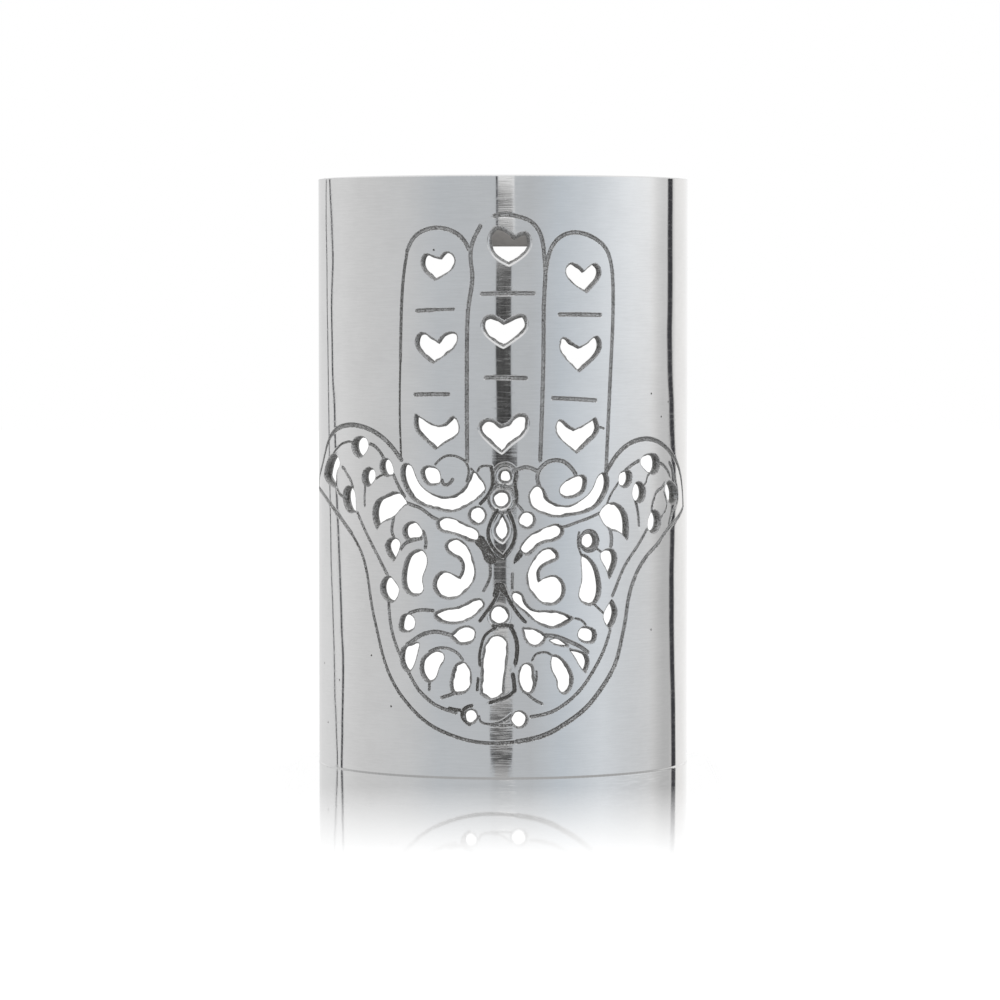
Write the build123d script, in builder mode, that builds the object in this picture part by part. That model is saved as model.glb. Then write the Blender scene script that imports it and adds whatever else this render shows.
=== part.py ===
"""A hamsa hand ornament: a half-round cast shell with the open hand cut through it and engraved in its face.

The shell stands on its end. Its round face looks along -Y, its open back along +Y, and a flat strap
across the back near the top hangs it on a wall.
"""

import os
from math import asin, cos, degrees, pi, sin

from build123d import *

# The half-round shell, in millimetres
shell_height = 200.0
outer_radius = 63.5
wall = 3.0
rim_chamfer = 0.7

# The hand on the shell: its gaps to the shell's foot, rim and back edges, the last measured round the face
foot_gap = 12.5
rim_gap = 12.5
side_gap = 7.3
groove_width = 1.5
bar_width = 1.5
groove_depth = 0.6
saw_tolerance = 0.4
hand_lean_share = 0.0145

# The strap across the back, with its hanging hole
strap_height = 19.0
strap_thickness = 3.0
strap_top_gap = 4.0
hanging_hole_diameter = 5.0

# The weld beads that hold the strap's ends
bead_leg = 3.0

# Overrun of a cut past the surface that it opens
overrun = 2.0

inner_radius = outer_radius - wall
axis_y = outer_radius / 2
cut_depth = 2 * (wall + overrun)
hand_height = shell_height - foot_gap - rim_gap
hand_reach = pi * outer_radius / 2 - side_gap

# Where each outline lies, in shares of the hand's height: first across, from the hand's middle line,
# then up, from the hand's foot. The thumb's tip is the furthest point across.
thumb_tip_share = 0.528

# A smooth outline is one closed curve.
smooth_hole_shares = {
    "left_thumb_top": [(-0.309, 0.573), (-0.325, 0.569), (-0.335, 0.559), (-0.333, 0.547), (-0.323, 0.538),
                       (-0.310, 0.535), (-0.298, 0.542), (-0.288, 0.555), (-0.291, 0.567)],
    "left_thumb_inner": [(-0.241, 0.533), (-0.231, 0.528), (-0.225, 0.516), (-0.224, 0.506), (-0.233, 0.501),
                         (-0.246, 0.503), (-0.253, 0.512), (-0.254, 0.523), (-0.249, 0.531)],
    "left_thumb_seed": [(-0.285, 0.514), (-0.297, 0.509), (-0.304, 0.496), (-0.300, 0.485), (-0.290, 0.480),
                        (-0.277, 0.487), (-0.269, 0.498), (-0.272, 0.509)],
    "left_spiral": [(-0.141, 0.519), (-0.129, 0.515), (-0.122, 0.502), (-0.124, 0.490), (-0.134, 0.486),
                    (-0.147, 0.487), (-0.157, 0.498), (-0.160, 0.508), (-0.154, 0.518)],
    "left_crescent": [(-0.186, 0.522), (-0.178, 0.510), (-0.171, 0.494), (-0.157, 0.477), (-0.136, 0.466),
                      (-0.114, 0.461), (-0.093, 0.465), (-0.075, 0.478), (-0.065, 0.494), (-0.056, 0.510),
                      (-0.045, 0.500), (-0.035, 0.476), (-0.051, 0.460), (-0.074, 0.445), (-0.099, 0.436),
                      (-0.129, 0.440), (-0.159, 0.448), (-0.183, 0.462), (-0.197, 0.483), (-0.204, 0.507),
                      (-0.197, 0.523)],
    "left_lobe": [(-0.177, 0.413), (-0.166, 0.404), (-0.161, 0.392), (-0.169, 0.384), (-0.183, 0.381),
                  (-0.196, 0.383), (-0.201, 0.394), (-0.197, 0.406), (-0.189, 0.411)],
    "left_long": [(-0.162, 0.360), (-0.153, 0.348), (-0.155, 0.327), (-0.163, 0.302), (-0.161, 0.286),
                  (-0.169, 0.277), (-0.189, 0.277), (-0.201, 0.288), (-0.204, 0.307), (-0.199, 0.332),
                  (-0.189, 0.350), (-0.175, 0.359)],
    "left_banana": [(-0.118, 0.422), (-0.093, 0.419), (-0.066, 0.407), (-0.049, 0.394), (-0.050, 0.382),
                    (-0.063, 0.380), (-0.085, 0.390), (-0.107, 0.396), (-0.125, 0.402), (-0.129, 0.415)],
    "right_banana": [(0.105, 0.409), (0.081, 0.404), (0.056, 0.393), (0.039, 0.379), (0.032, 0.362),
                     (0.041, 0.354), (0.053, 0.360), (0.071, 0.376), (0.095, 0.381), (0.111, 0.390),
                     (0.114, 0.402)],
    "left_sickle": [(-0.048, 0.269), (-0.040, 0.261), (-0.048, 0.248), (-0.064, 0.235), (-0.083, 0.226),
                    (-0.106, 0.223), (-0.128, 0.228), (-0.137, 0.237), (-0.122, 0.247), (-0.097, 0.251),
                    (-0.074, 0.260), (-0.059, 0.268)],
    "left_window": [(-0.237, 0.308), (-0.224, 0.298), (-0.215, 0.286), (-0.218, 0.272), (-0.231, 0.260),
                    (-0.246, 0.266), (-0.256, 0.281), (-0.254, 0.296), (-0.246, 0.305)],
    "left_round": [(-0.193, 0.237), (-0.181, 0.229), (-0.180, 0.217), (-0.187, 0.208), (-0.200, 0.205),
                   (-0.211, 0.208), (-0.211, 0.222), (-0.205, 0.234)],
    "left_leaf": [(-0.172, 0.183), (-0.175, 0.165), (-0.184, 0.140), (-0.195, 0.129), (-0.206, 0.137),
                  (-0.211, 0.156), (-0.206, 0.172), (-0.188, 0.180)],
    "left_outer_oval": [(-0.132, 0.169), (-0.121, 0.163), (-0.121, 0.152), (-0.130, 0.138), (-0.137, 0.120),
                        (-0.151, 0.111), (-0.163, 0.121), (-0.167, 0.140), (-0.160, 0.157), (-0.146, 0.166)],
    "left_inner_oval": [(-0.083, 0.149), (-0.072, 0.140), (-0.067, 0.121), (-0.072, 0.100), (-0.086, 0.090),
                        (-0.101, 0.091), (-0.106, 0.105), (-0.102, 0.127), (-0.095, 0.143)],
    "right_outer_oval": [(0.092, 0.161), (0.107, 0.155), (0.121, 0.139), (0.129, 0.119), (0.124, 0.098),
                         (0.113, 0.089), (0.103, 0.096), (0.099, 0.114), (0.091, 0.131), (0.088, 0.150)],
    "right_inner_oval": [(0.040, 0.147), (0.029, 0.140), (0.025, 0.125), (0.026, 0.107), (0.032, 0.095),
                         (0.042, 0.090), (0.052, 0.098), (0.054, 0.112), (0.052, 0.131), (0.050, 0.143)],
    "left_foot": [(-0.069, 0.059), (-0.059, 0.056), (-0.056, 0.046), (-0.061, 0.036), (-0.072, 0.033),
                  (-0.081, 0.038), (-0.082, 0.049), (-0.077, 0.057)],
    "right_round": [(0.154, 0.214), (0.145, 0.207), (0.143, 0.198), (0.149, 0.189), (0.162, 0.185),
                    (0.175, 0.186), (0.180, 0.197), (0.177, 0.207), (0.166, 0.212)],
    "right_long": [(0.155, 0.351), (0.171, 0.341), (0.184, 0.323), (0.190, 0.300), (0.189, 0.274),
                   (0.178, 0.259), (0.161, 0.258), (0.147, 0.271), (0.151, 0.295), (0.153, 0.326)],
    "right_spiral": [(0.150, 0.502), (0.134, 0.498), (0.118, 0.488), (0.110, 0.477), (0.113, 0.466),
                     (0.127, 0.462), (0.144, 0.465), (0.157, 0.474), (0.162, 0.487), (0.160, 0.500)],
    "right_crescent": [(0.065, 0.483), (0.076, 0.476), (0.084, 0.459), (0.102, 0.447), (0.124, 0.444),
                       (0.148, 0.452), (0.168, 0.465), (0.182, 0.483), (0.192, 0.501), (0.205, 0.506),
                       (0.212, 0.491), (0.205, 0.468), (0.188, 0.447), (0.165, 0.435), (0.132, 0.429),
                       (0.100, 0.426), (0.074, 0.433), (0.053, 0.448), (0.050, 0.467)],
    "right_thumb_inner": [(0.255, 0.509), (0.243, 0.505), (0.238, 0.493), (0.241, 0.483), (0.252, 0.479),
                          (0.264, 0.484), (0.270, 0.497), (0.266, 0.507)],
    "right_thumb_seed": [(0.285, 0.486), (0.276, 0.477), (0.273, 0.464), (0.279, 0.453), (0.293, 0.449),
                         (0.305, 0.457), (0.308, 0.470), (0.299, 0.483)],
    "right_thumb_top": [(0.321, 0.539), (0.306, 0.536), (0.296, 0.526), (0.307, 0.513), (0.323, 0.504),
                        (0.341, 0.503), (0.354, 0.514), (0.354, 0.528), (0.341, 0.538)],
    "right_thumb_outer": [(0.388, 0.484), (0.379, 0.473), (0.383, 0.458), (0.396, 0.445), (0.415, 0.442),
                          (0.432, 0.448), (0.433, 0.464), (0.418, 0.478), (0.402, 0.484)],
    "right_thumb_low": [(0.333, 0.430), (0.321, 0.419), (0.316, 0.403), (0.323, 0.392), (0.340, 0.390),
                        (0.355, 0.399), (0.359, 0.414), (0.349, 0.427)],
}

# An outline with points is several curves, each from one point to the next.
pointed_hole_shares = {
    "left_index_heart": [
        [(-0.116, 0.914), (-0.129, 0.917), (-0.146, 0.921), (-0.153, 0.909), (-0.146, 0.890), (-0.126, 0.874)],
        [(-0.126, 0.874), (-0.105, 0.886), (-0.088, 0.904), (-0.091, 0.920), (-0.102, 0.925), (-0.116, 0.914)]],
    "left_middle_heart": [
        [(-0.123, 0.755), (-0.137, 0.764), (-0.158, 0.772), (-0.168, 0.758), (-0.157, 0.736), (-0.133, 0.717)],
        [(-0.133, 0.717), (-0.107, 0.734), (-0.087, 0.754), (-0.087, 0.771), (-0.101, 0.773), (-0.123, 0.755)]],
    "left_low_heart": [
        [(-0.128, 0.596), (-0.147, 0.604), (-0.171, 0.618)],
        [(-0.171, 0.618), (-0.171, 0.594), (-0.153, 0.573), (-0.130, 0.554)],
        [(-0.130, 0.554), (-0.107, 0.569), (-0.087, 0.583), (-0.085, 0.600), (-0.095, 0.614),
         (-0.107, 0.602), (-0.128, 0.596)]],
    "centre_top_heart": [
        [(0.028, 0.951), (0.014, 0.963), (-0.004, 0.970), (-0.017, 0.953), (-0.010, 0.922), (0.017, 0.904)],
        [(0.017, 0.904), (0.042, 0.920), (0.056, 0.941), (0.051, 0.959), (0.028, 0.951)]],
    "centre_middle_heart": [
        [(0.005, 0.790), (-0.008, 0.799), (-0.024, 0.802), (-0.033, 0.788), (-0.021, 0.766), (0.004, 0.749)],
        [(0.004, 0.749), (0.029, 0.766), (0.047, 0.788), (0.041, 0.804), (0.025, 0.800), (0.005, 0.790)]],
    "centre_low_heart": [
        [(-0.004, 0.595), (-0.014, 0.602), (-0.029, 0.607), (-0.041, 0.597), (-0.028, 0.572), (-0.002, 0.549)],
        [(-0.002, 0.549), (0.022, 0.570), (0.045, 0.594), (0.042, 0.616), (0.029, 0.615), (0.013, 0.600),
         (-0.004, 0.595)]],
    "right_top_heart": [
        [(0.164, 0.889), (0.152, 0.899), (0.135, 0.903), (0.128, 0.893), (0.141, 0.869), (0.169, 0.851)],
        [(0.169, 0.851), (0.187, 0.868), (0.199, 0.891), (0.189, 0.903), (0.175, 0.897), (0.164, 0.889)]],
    "right_middle_heart": [
        [(0.153, 0.745), (0.136, 0.754), (0.119, 0.763), (0.114, 0.748), (0.128, 0.723), (0.151, 0.701)],
        [(0.151, 0.701), (0.181, 0.724), (0.198, 0.754), (0.191, 0.765), (0.173, 0.755), (0.153, 0.745)]],
    "right_low_heart": [
        [(0.141, 0.589), (0.128, 0.596), (0.110, 0.607), (0.104, 0.592), (0.119, 0.568), (0.144, 0.547)],
        [(0.144, 0.547), (0.172, 0.569), (0.191, 0.593), (0.184, 0.611)],
        [(0.184, 0.611), (0.163, 0.598), (0.141, 0.589)]],
    "left_thumb_outer": [
        [(-0.402, 0.475), (-0.426, 0.478), (-0.449, 0.485), (-0.468, 0.494)],
        [(-0.468, 0.494), (-0.454, 0.513), (-0.429, 0.530), (-0.398, 0.535), (-0.383, 0.520),
         (-0.396, 0.505), (-0.400, 0.490), (-0.402, 0.475)]],
    "left_thumb_low": [
        [(-0.327, 0.430), (-0.348, 0.429), (-0.364, 0.443), (-0.368, 0.461), (-0.358, 0.474), (-0.340, 0.476)],
        [(-0.340, 0.476), (-0.331, 0.467), (-0.327, 0.448), (-0.327, 0.430)]],
    "left_thumb_root": [
        [(-0.193, 0.449), (-0.204, 0.463), (-0.219, 0.469), (-0.243, 0.461), (-0.263, 0.452),
         (-0.274, 0.433), (-0.272, 0.413), (-0.265, 0.399)],
        [(-0.265, 0.399), (-0.253, 0.412), (-0.235, 0.418), (-0.220, 0.427), (-0.209, 0.438), (-0.193, 0.449)]],
    "left_drop": [
        [(-0.225, 0.339), (-0.239, 0.355), (-0.243, 0.368), (-0.235, 0.378), (-0.221, 0.381),
         (-0.211, 0.374), (-0.214, 0.358), (-0.225, 0.339)]],
    "left_comma": [
        [(-0.087, 0.309), (-0.102, 0.316), (-0.119, 0.320), (-0.135, 0.306), (-0.136, 0.287), (-0.121, 0.273),
         (-0.098, 0.271), (-0.075, 0.286), (-0.057, 0.314), (-0.061, 0.344), (-0.075, 0.373),
         (-0.096, 0.382), (-0.112, 0.371), (-0.105, 0.357), (-0.087, 0.347), (-0.079, 0.326),
         (-0.087, 0.309)]],
    "right_comma": [
        [(0.067, 0.303), (0.079, 0.309), (0.097, 0.312), (0.112, 0.300), (0.115, 0.282), (0.101, 0.263),
         (0.079, 0.260), (0.059, 0.274), (0.043, 0.308), (0.054, 0.339), (0.075, 0.362),
         (0.098, 0.361), (0.103, 0.349), (0.081, 0.337), (0.065, 0.319), (0.067, 0.303)]],
    "diamond": [
        [(-0.003, 0.430), (-0.010, 0.416), (-0.018, 0.401), (-0.013, 0.387), (-0.003, 0.379)],
        [(-0.003, 0.379), (0.005, 0.389), (0.009, 0.402), (0.004, 0.417), (-0.003, 0.430)]],
    "left_arch_drop": [
        [(-0.106, 0.199), (-0.093, 0.210), (-0.075, 0.217), (-0.060, 0.211), (-0.060, 0.196),
         (-0.072, 0.185), (-0.090, 0.186), (-0.106, 0.199)]],
    "right_arch_drop": [
        [(0.079, 0.199), (0.062, 0.209), (0.047, 0.213), (0.033, 0.214)],
        [(0.033, 0.214), (0.038, 0.194), (0.052, 0.181), (0.068, 0.184), (0.079, 0.199)]],
    "arch_slot": [
        [(0.085, 0.190), (0.098, 0.193), (0.111, 0.188), (0.121, 0.180)],
        [(0.121, 0.180), (0.105, 0.181), (0.085, 0.190)]],
    "arch_leaf": [
        [(0.125, 0.172), (0.143, 0.168), (0.160, 0.159), (0.163, 0.146), (0.156, 0.129)],
        [(0.156, 0.129), (0.146, 0.141), (0.137, 0.156), (0.125, 0.172)]],
    "right_sickle": [
        [(0.131, 0.232), (0.108, 0.242), (0.083, 0.246), (0.057, 0.247), (0.039, 0.262), (0.026, 0.282),
         (0.015, 0.281), (0.015, 0.268), (0.031, 0.251), (0.056, 0.230), (0.084, 0.216), (0.108, 0.218),
         (0.131, 0.232)]],
    "right_window": [
        [(0.217, 0.263), (0.207, 0.250), (0.199, 0.235), (0.203, 0.221), (0.212, 0.210)],
        [(0.212, 0.210), (0.223, 0.224), (0.228, 0.242), (0.217, 0.263)]],
    "right_thumb_root": [
        [(0.192, 0.429), (0.204, 0.443), (0.219, 0.448), (0.240, 0.442), (0.254, 0.427), (0.259, 0.403),
         (0.257, 0.378)],
        [(0.257, 0.378), (0.240, 0.393), (0.217, 0.400), (0.204, 0.409), (0.192, 0.429)]],
    "right_drop": [
        [(0.212, 0.306), (0.207, 0.323), (0.197, 0.339), (0.194, 0.351), (0.208, 0.360), (0.222, 0.358),
         (0.229, 0.343), (0.222, 0.323), (0.212, 0.306)]],
    "keyhole_window": [
        [(-0.048, 0.090), (-0.046, 0.127), (-0.043, 0.161), (-0.034, 0.188), (-0.017, 0.200),
         (-0.001, 0.193), (0.003, 0.176), (0.000, 0.147), (-0.004, 0.117), (-0.005, 0.090)],
        [(-0.005, 0.090), (-0.027, 0.080), (-0.048, 0.090)]],
}

# A round hole is a middle, across and up, and a radius.
round_hole_shares = {
    "upper_ring": (0.004, 0.502, 0.012),
    "lower_ring": (-0.004, 0.459, 0.016),
    "left_palm_round": (-0.050, 0.428, 0.016),
    "right_palm_round": (0.044, 0.419, 0.015),
    "right_halo": (0.168, 0.378, 0.015),
    "dome": (-0.011, 0.239, 0.018),
    "right_foot": (0.024, 0.041, 0.015),
}

# The engraved lines: each is one curve, in the order in which it runs.
groove_shares = {
    "left_thumb_top": [(-0.204, 0.532), (-0.235, 0.564), (-0.270, 0.584), (-0.310, 0.594), (-0.350, 0.595)],
    "left_thumb_side": [(-0.350, 0.595), (-0.390, 0.587), (-0.420, 0.574), (-0.450, 0.548), (-0.480, 0.516)],
    "left_thumb_tip": [(-0.480, 0.516), (-0.505, 0.498), (-0.522, 0.482), (-0.528, 0.467)],
    "left_thumb_under": [(-0.528, 0.467), (-0.480, 0.459), (-0.430, 0.441), (-0.380, 0.415)],
    "left_palm_upper": [(-0.380, 0.415), (-0.340, 0.387), (-0.307, 0.347), (-0.291, 0.300), (-0.280, 0.245)],
    "left_palm_lower": [(-0.280, 0.245), (-0.268, 0.203), (-0.250, 0.146), (-0.226, 0.101), (-0.190, 0.060)],
    "left_palm_foot": [(-0.190, 0.060), (-0.150, 0.029), (-0.115, 0.013), (-0.075, 0.001), (-0.020, -0.004)],
    "right_palm_foot": [(-0.020, -0.004), (0.020, -0.001), (0.070, 0.010), (0.120, 0.035), (0.160, 0.063)],
    "right_palm_lower": [(0.160, 0.063), (0.192, 0.097), (0.222, 0.138), (0.241, 0.190), (0.251, 0.228)],
    "right_palm_upper": [(0.251, 0.228), (0.258, 0.262), (0.275, 0.303), (0.310, 0.343), (0.350, 0.368)],
    "right_thumb_under": [(0.350, 0.368), (0.385, 0.392), (0.425, 0.408), (0.450, 0.418), (0.477, 0.432)],
    "right_thumb_tip": [(0.477, 0.432), (0.470, 0.466), (0.445, 0.509), (0.405, 0.539)],
    "right_thumb_top": [(0.405, 0.539), (0.375, 0.554), (0.340, 0.566), (0.300, 0.569), (0.265, 0.561),
                        (0.235, 0.542), (0.207, 0.507)],
    "left_finger_side": [(-0.204, 0.532), (-0.206, 0.620), (-0.203, 0.720), (-0.199, 0.820), (-0.192, 0.890)],
    "left_finger_top": [(-0.192, 0.890), (-0.184, 0.930), (-0.170, 0.953), (-0.148, 0.967), (-0.120, 0.972),
                        (-0.097, 0.968), (-0.074, 0.955), (-0.058, 0.930)],
    "left_middle_line": [(-0.068, 0.530), (-0.067, 0.650), (-0.065, 0.760), (-0.060, 0.830), (-0.053, 0.885),
                         (-0.056, 0.915)],
    "middle_finger_top": [(-0.056, 0.915), (-0.050, 0.948), (-0.034, 0.977), (0.000, 0.997), (0.035, 0.996),
                          (0.060, 0.985), (0.077, 0.961), (0.084, 0.925), (0.086, 0.890)],
    "right_middle_line": [(0.086, 0.890), (0.083, 0.840), (0.081, 0.770), (0.077, 0.650), (0.071, 0.532)],
    "right_finger_top": [(0.087, 0.890), (0.095, 0.926), (0.112, 0.951), (0.135, 0.962), (0.160, 0.962),
                         (0.190, 0.951), (0.213, 0.932), (0.224, 0.905), (0.228, 0.865)],
    "right_finger_side": [(0.228, 0.865), (0.227, 0.800), (0.221, 0.710), (0.214, 0.610), (0.207, 0.507)],
    "left_inner_upper": [(-0.320, 0.427), (-0.295, 0.390), (-0.265, 0.348), (-0.240, 0.311)],
    "left_inner_lower": [(-0.238, 0.264), (-0.235, 0.225), (-0.221, 0.176), (-0.197, 0.132)],
    "left_inner_foot": [(-0.197, 0.132), (-0.172, 0.094), (-0.140, 0.068), (-0.097, 0.053)],
    "right_inner_upper": [(0.312, 0.395), (0.280, 0.360), (0.250, 0.328), (0.232, 0.297), (0.219, 0.272)],
    "right_inner_lower": [(0.213, 0.206), (0.198, 0.170), (0.174, 0.131), (0.150, 0.100)],
    "right_inner_foot": [(0.150, 0.100), (0.115, 0.070), (0.085, 0.054), (0.047, 0.046)],
}

# The short bars across the fingers, each from its left end to its right end.
bar_shares = {
    "left_upper": [(-0.165, 0.815), (-0.090, 0.818)],
    "left_lower": [(-0.171, 0.656), (-0.103, 0.657)],
    "centre_upper": [(-0.035, 0.847), (0.063, 0.848)],
    "centre_lower": [(-0.030, 0.689), (0.046, 0.688)],
    "right_upper": [(0.113, 0.808), (0.198, 0.807)],
    "right_lower": [(0.098, 0.650), (0.185, 0.645)],
}


def angle_of(point):
    """The angle round the shell's axis, from its front, of a point given in shares of the hand."""
    across_share, up_share = point
    leaned_share = across_share - hand_lean_share * (up_share - 0.5)
    return hand_reach * leaned_share / thumb_tip_share / outer_radius


def middle_angle(points):
    """The angle halfway between the two points of an outline that lie furthest apart round the shell."""
    angles = [angle_of(point) for point in points]
    return (min(angles) + max(angles)) / 2


def face_plane(angle):
    """The plane just outside the shell's round face, square to a radius: local X across, local Y up."""
    reach = outer_radius + overrun
    origin = (reach * sin(angle), axis_y - reach * cos(angle), 0)
    return Plane(origin=origin, x_dir=(cos(angle), sin(angle), 0), z_dir=(sin(angle), -cos(angle), 0))


def on_plane(point, angle):
    """A point of the hand on the plane that touches the shell at an angle."""
    return (outer_radius * sin(angle_of(point) - angle), foot_gap + point[1] * hand_height)


def straight_cuts(points, closed):
    """Corners of the straight saw cuts that follow the curve through some points, one or two to a stretch."""
    curve = Spline(*points, periodic=closed, mode=Mode.PRIVATE)
    inner_points = points[1:] if closed else points[1:-1]
    stops = [0.0] + [curve.param_at_point(point) for point in inner_points] + [1.0]
    corners = []
    for start, end in zip(stops, stops[1:]):
        corners.append(curve @ start)
        middle = curve @ ((start + end) / 2)
        if (middle - (curve @ start + curve @ end) / 2).length > saw_tolerance:
            corners.append(middle)
    return corners if closed else corners + [curve @ 1.0]


def half_ring(inside, outside):
    """A half ring round the shell's axis, between two radii, on its -Y side."""
    with BuildSketch(mode=Mode.PRIVATE) as ring:
        with Locations((0, axis_y)):
            Circle(outside)
            Circle(inside, mode=Mode.SUBTRACT)
        with Locations((0, axis_y + outside)):
            Rectangle(2 * outside, 2 * outside, mode=Mode.SUBTRACT)
    return ring.sketch


# The engraving tool: ribbons along the engraved lines, kept to the skin of the round face
with BuildPart() as engraving:
    lines = [(points, groove_width) for points in groove_shares.values()]
    lines += [(points, bar_width) for points in bar_shares.values()]
    for points, width in lines:
        angle = middle_angle(points)
        with BuildSketch(face_plane(angle)):
            with BuildLine():
                Spline(*[on_plane(point, angle) for point in points])
            trace(line_width=width)
    extrude(amount=-cut_depth)
    with BuildSketch():
        add(half_ring(outer_radius - groove_depth, outer_radius + overrun))
    extrude(amount=shell_height, mode=Mode.INTERSECT)

# The shell: a half ring drawn up, its rims eased, then pierced and engraved
with BuildPart() as pierced_shell:
    with BuildSketch():
        add(half_ring(inner_radius, outer_radius))
    extrude(amount=shell_height)
    rims = pierced_shell.edges().filter_by(GeomType.CIRCLE)
    chamfer(rims.filter_by(lambda edge: edge.radius > inner_radius + wall / 2), length=rim_chamfer)
    for points in smooth_hole_shares.values():
        angle = middle_angle(points)
        with BuildSketch(face_plane(angle)):
            with BuildLine():
                Polyline(*straight_cuts([on_plane(point, angle) for point in points], True), close=True)
            make_face()
    for curves in pointed_hole_shares.values():
        angle = middle_angle([point for curve in curves for point in curve])
        with BuildSketch(face_plane(angle)):
            with BuildLine():
                for curve in curves:
                    Polyline(*straight_cuts([on_plane(point, angle) for point in curve], False))
            make_face()
    for across_share, up_share, radius_share in round_hole_shares.values():
        middle = (across_share, up_share)
        angle = angle_of(middle)
        with BuildSketch(face_plane(angle)):
            with Locations(on_plane(middle, angle)):
                Circle(radius_share * hand_height)
    extrude(amount=-cut_depth, mode=Mode.SUBTRACT)
    add(engraving.part, mode=Mode.SUBTRACT)
pierced_shell.part.label = "pierced_shell"

# The strap: a flat bar across the back, its ends cut to the shell's inside, with a hole to hang it by
strap_base_z = shell_height - strap_top_gap - strap_height
with BuildPart() as hanging_strap:
    with BuildSketch(Plane.XY.offset(strap_base_z)):
        with Locations((0, axis_y)):
            Circle(inner_radius)
        with Locations((0, axis_y - strap_thickness / 2)):
            Rectangle(2 * inner_radius, strap_thickness, mode=Mode.INTERSECT)
    extrude(amount=strap_height)
    with BuildSketch(Plane.XZ.offset(-axis_y)):
        with Locations((0, strap_base_z + strap_height / 2)):
            Circle(hanging_hole_diameter / 2)
    extrude(amount=strap_thickness, mode=Mode.SUBTRACT)
hanging_strap.part.label = "hanging_strap"

# The weld beads: a fillet up each end of the strap's front, in the corner with the shell
strap_end_angle = degrees(asin(strap_thickness / inner_radius))
bead_end_angle = degrees(asin((strap_thickness + bead_leg) / inner_radius))
with BuildPart() as right_weld_bead:
    with BuildSketch(Plane.XY.offset(strap_base_z + bead_leg)):
        with BuildLine():
            wall_arc = CenterArc((0, axis_y), inner_radius, -bead_end_angle, bead_end_angle - strap_end_angle)
            bead_foot = wall_arc @ 1 - Vector(bead_leg, 0)
            Line(wall_arc @ 1, bead_foot)
            Line(bead_foot, wall_arc @ 0)
        make_face()
    extrude(amount=strap_height - 2 * bead_leg)
right_weld_bead.part.label = "right_weld_bead"

with BuildPart() as left_weld_bead:
    mirror(right_weld_bead.part, about=Plane.YZ)
left_weld_bead.part.label = "left_weld_bead"

os.makedirs("parts", exist_ok=True)
export_step(pierced_shell.part, "parts/pierced_shell.step")
export_step(hanging_strap.part, "parts/hanging_strap.step")
export_step(left_weld_bead.part, "parts/left_weld_bead.step")
export_step(right_weld_bead.part, "parts/right_weld_bead.step")
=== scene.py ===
"""A hamsa hand ornament: a half-round cast plate, pierced and engraved with an open hand, on a table."""

from math import cos, pi, radians, sin

import bmesh
import bpy
import numpy as np
from mathutils import Euler, Matrix, Vector, geometry, kdtree


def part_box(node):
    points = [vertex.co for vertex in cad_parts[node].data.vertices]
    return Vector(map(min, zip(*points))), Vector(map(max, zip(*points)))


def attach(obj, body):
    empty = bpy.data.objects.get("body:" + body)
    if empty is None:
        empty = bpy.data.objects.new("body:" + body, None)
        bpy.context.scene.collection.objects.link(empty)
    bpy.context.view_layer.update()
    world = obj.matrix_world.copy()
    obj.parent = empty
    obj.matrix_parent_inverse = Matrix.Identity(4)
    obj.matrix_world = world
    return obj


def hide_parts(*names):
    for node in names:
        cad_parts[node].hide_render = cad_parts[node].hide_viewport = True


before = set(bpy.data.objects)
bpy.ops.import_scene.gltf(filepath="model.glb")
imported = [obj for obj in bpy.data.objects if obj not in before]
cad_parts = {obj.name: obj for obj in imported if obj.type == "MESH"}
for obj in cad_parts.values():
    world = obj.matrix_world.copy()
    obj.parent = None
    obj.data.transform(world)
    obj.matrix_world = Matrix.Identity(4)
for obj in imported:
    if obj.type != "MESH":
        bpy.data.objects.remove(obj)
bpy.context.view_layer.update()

# Sizes of the casting, in metres, from the solids
mm = 0.001
_, shell_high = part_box("pierced_shell")
strap_low, strap_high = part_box("hanging_strap")
shell_height = shell_high.z
outer_radius = shell_high.x
inner_radius = strap_high.x
wall = outer_radius - inner_radius
axis_y = shell_high.y
half_turn_length = pi * outer_radius / 2

# The hand on the shell: its gaps to the shell's foot, rim and back edges, and its lean. Its pattern is drawn
# in thousandths of its height, and reaches as far across as the left thumb's tip.
foot_gap = 12.5 * mm
rim_gap = 12.5 * mm
side_gap = 7.3 * mm
hand_height = shell_height - foot_gap - rim_gap
hand_reach = half_turn_length - side_gap
hand_lean = 0.0145
pattern_height = 1000
thumb_tip = 528

# The cut-outs' rims, each by its width and depth: the buffed rounding of the middle column's and the raw one
# of the others. A rounding stops just short of upright.
buffed_rim = (1 * mm, 0.7 * mm)
raw_rim = (0.5 * mm, 0.4 * mm)
upright_limit = 0.003

# The engraved lines: their depth, the pattern width from which it is full, the power of their section, and
# the soft shoulders beside them
groove_depth = 0.6 * mm
full_groove = 8
groove_power = 4
shoulder_width = 0.5 * mm
shoulder_depth = 0.014 * mm

# The recesses, the pinholes, with how far the skin is raw round them in their own size, and the casting's
# outer edges
recess_depth = 0.7 * mm
recess_edge = 0.5 * mm
pinhole_size = 0.28 * mm
pinhole_halo = 1.8
edge_width = 0.35 * mm

# The ragged ridge in a cut-out: how uneven it is, how much its neighbours share, the width under which a
# cut-out has less of it and the least share that is left, and the start of its random draws
ridge_raggedness = 0.2
ridge_blend = 0.7
narrow_gap = 2.2 * mm
least_ridge = 0.5
ridge_seed = 5

# A cut-out's wall behind its rim: each ring's depth, how far it closes into the opening, and its stain
wall_rings = ((1.15 * mm, 0.28 * mm, 0.55), (1.6 * mm, 0.42 * mm, 0.65), (2.1 * mm, 0.3 * mm, 0.65),
              (3 * mm, -0.15 * mm, 0.5))

# How stained the raw metal is, from 0 to 1. The engraved lines have their own stains.
rim_stain = 0.45
recess_stain = 0.78
pinhole_stain = 1
back_stain = 0.35

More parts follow.
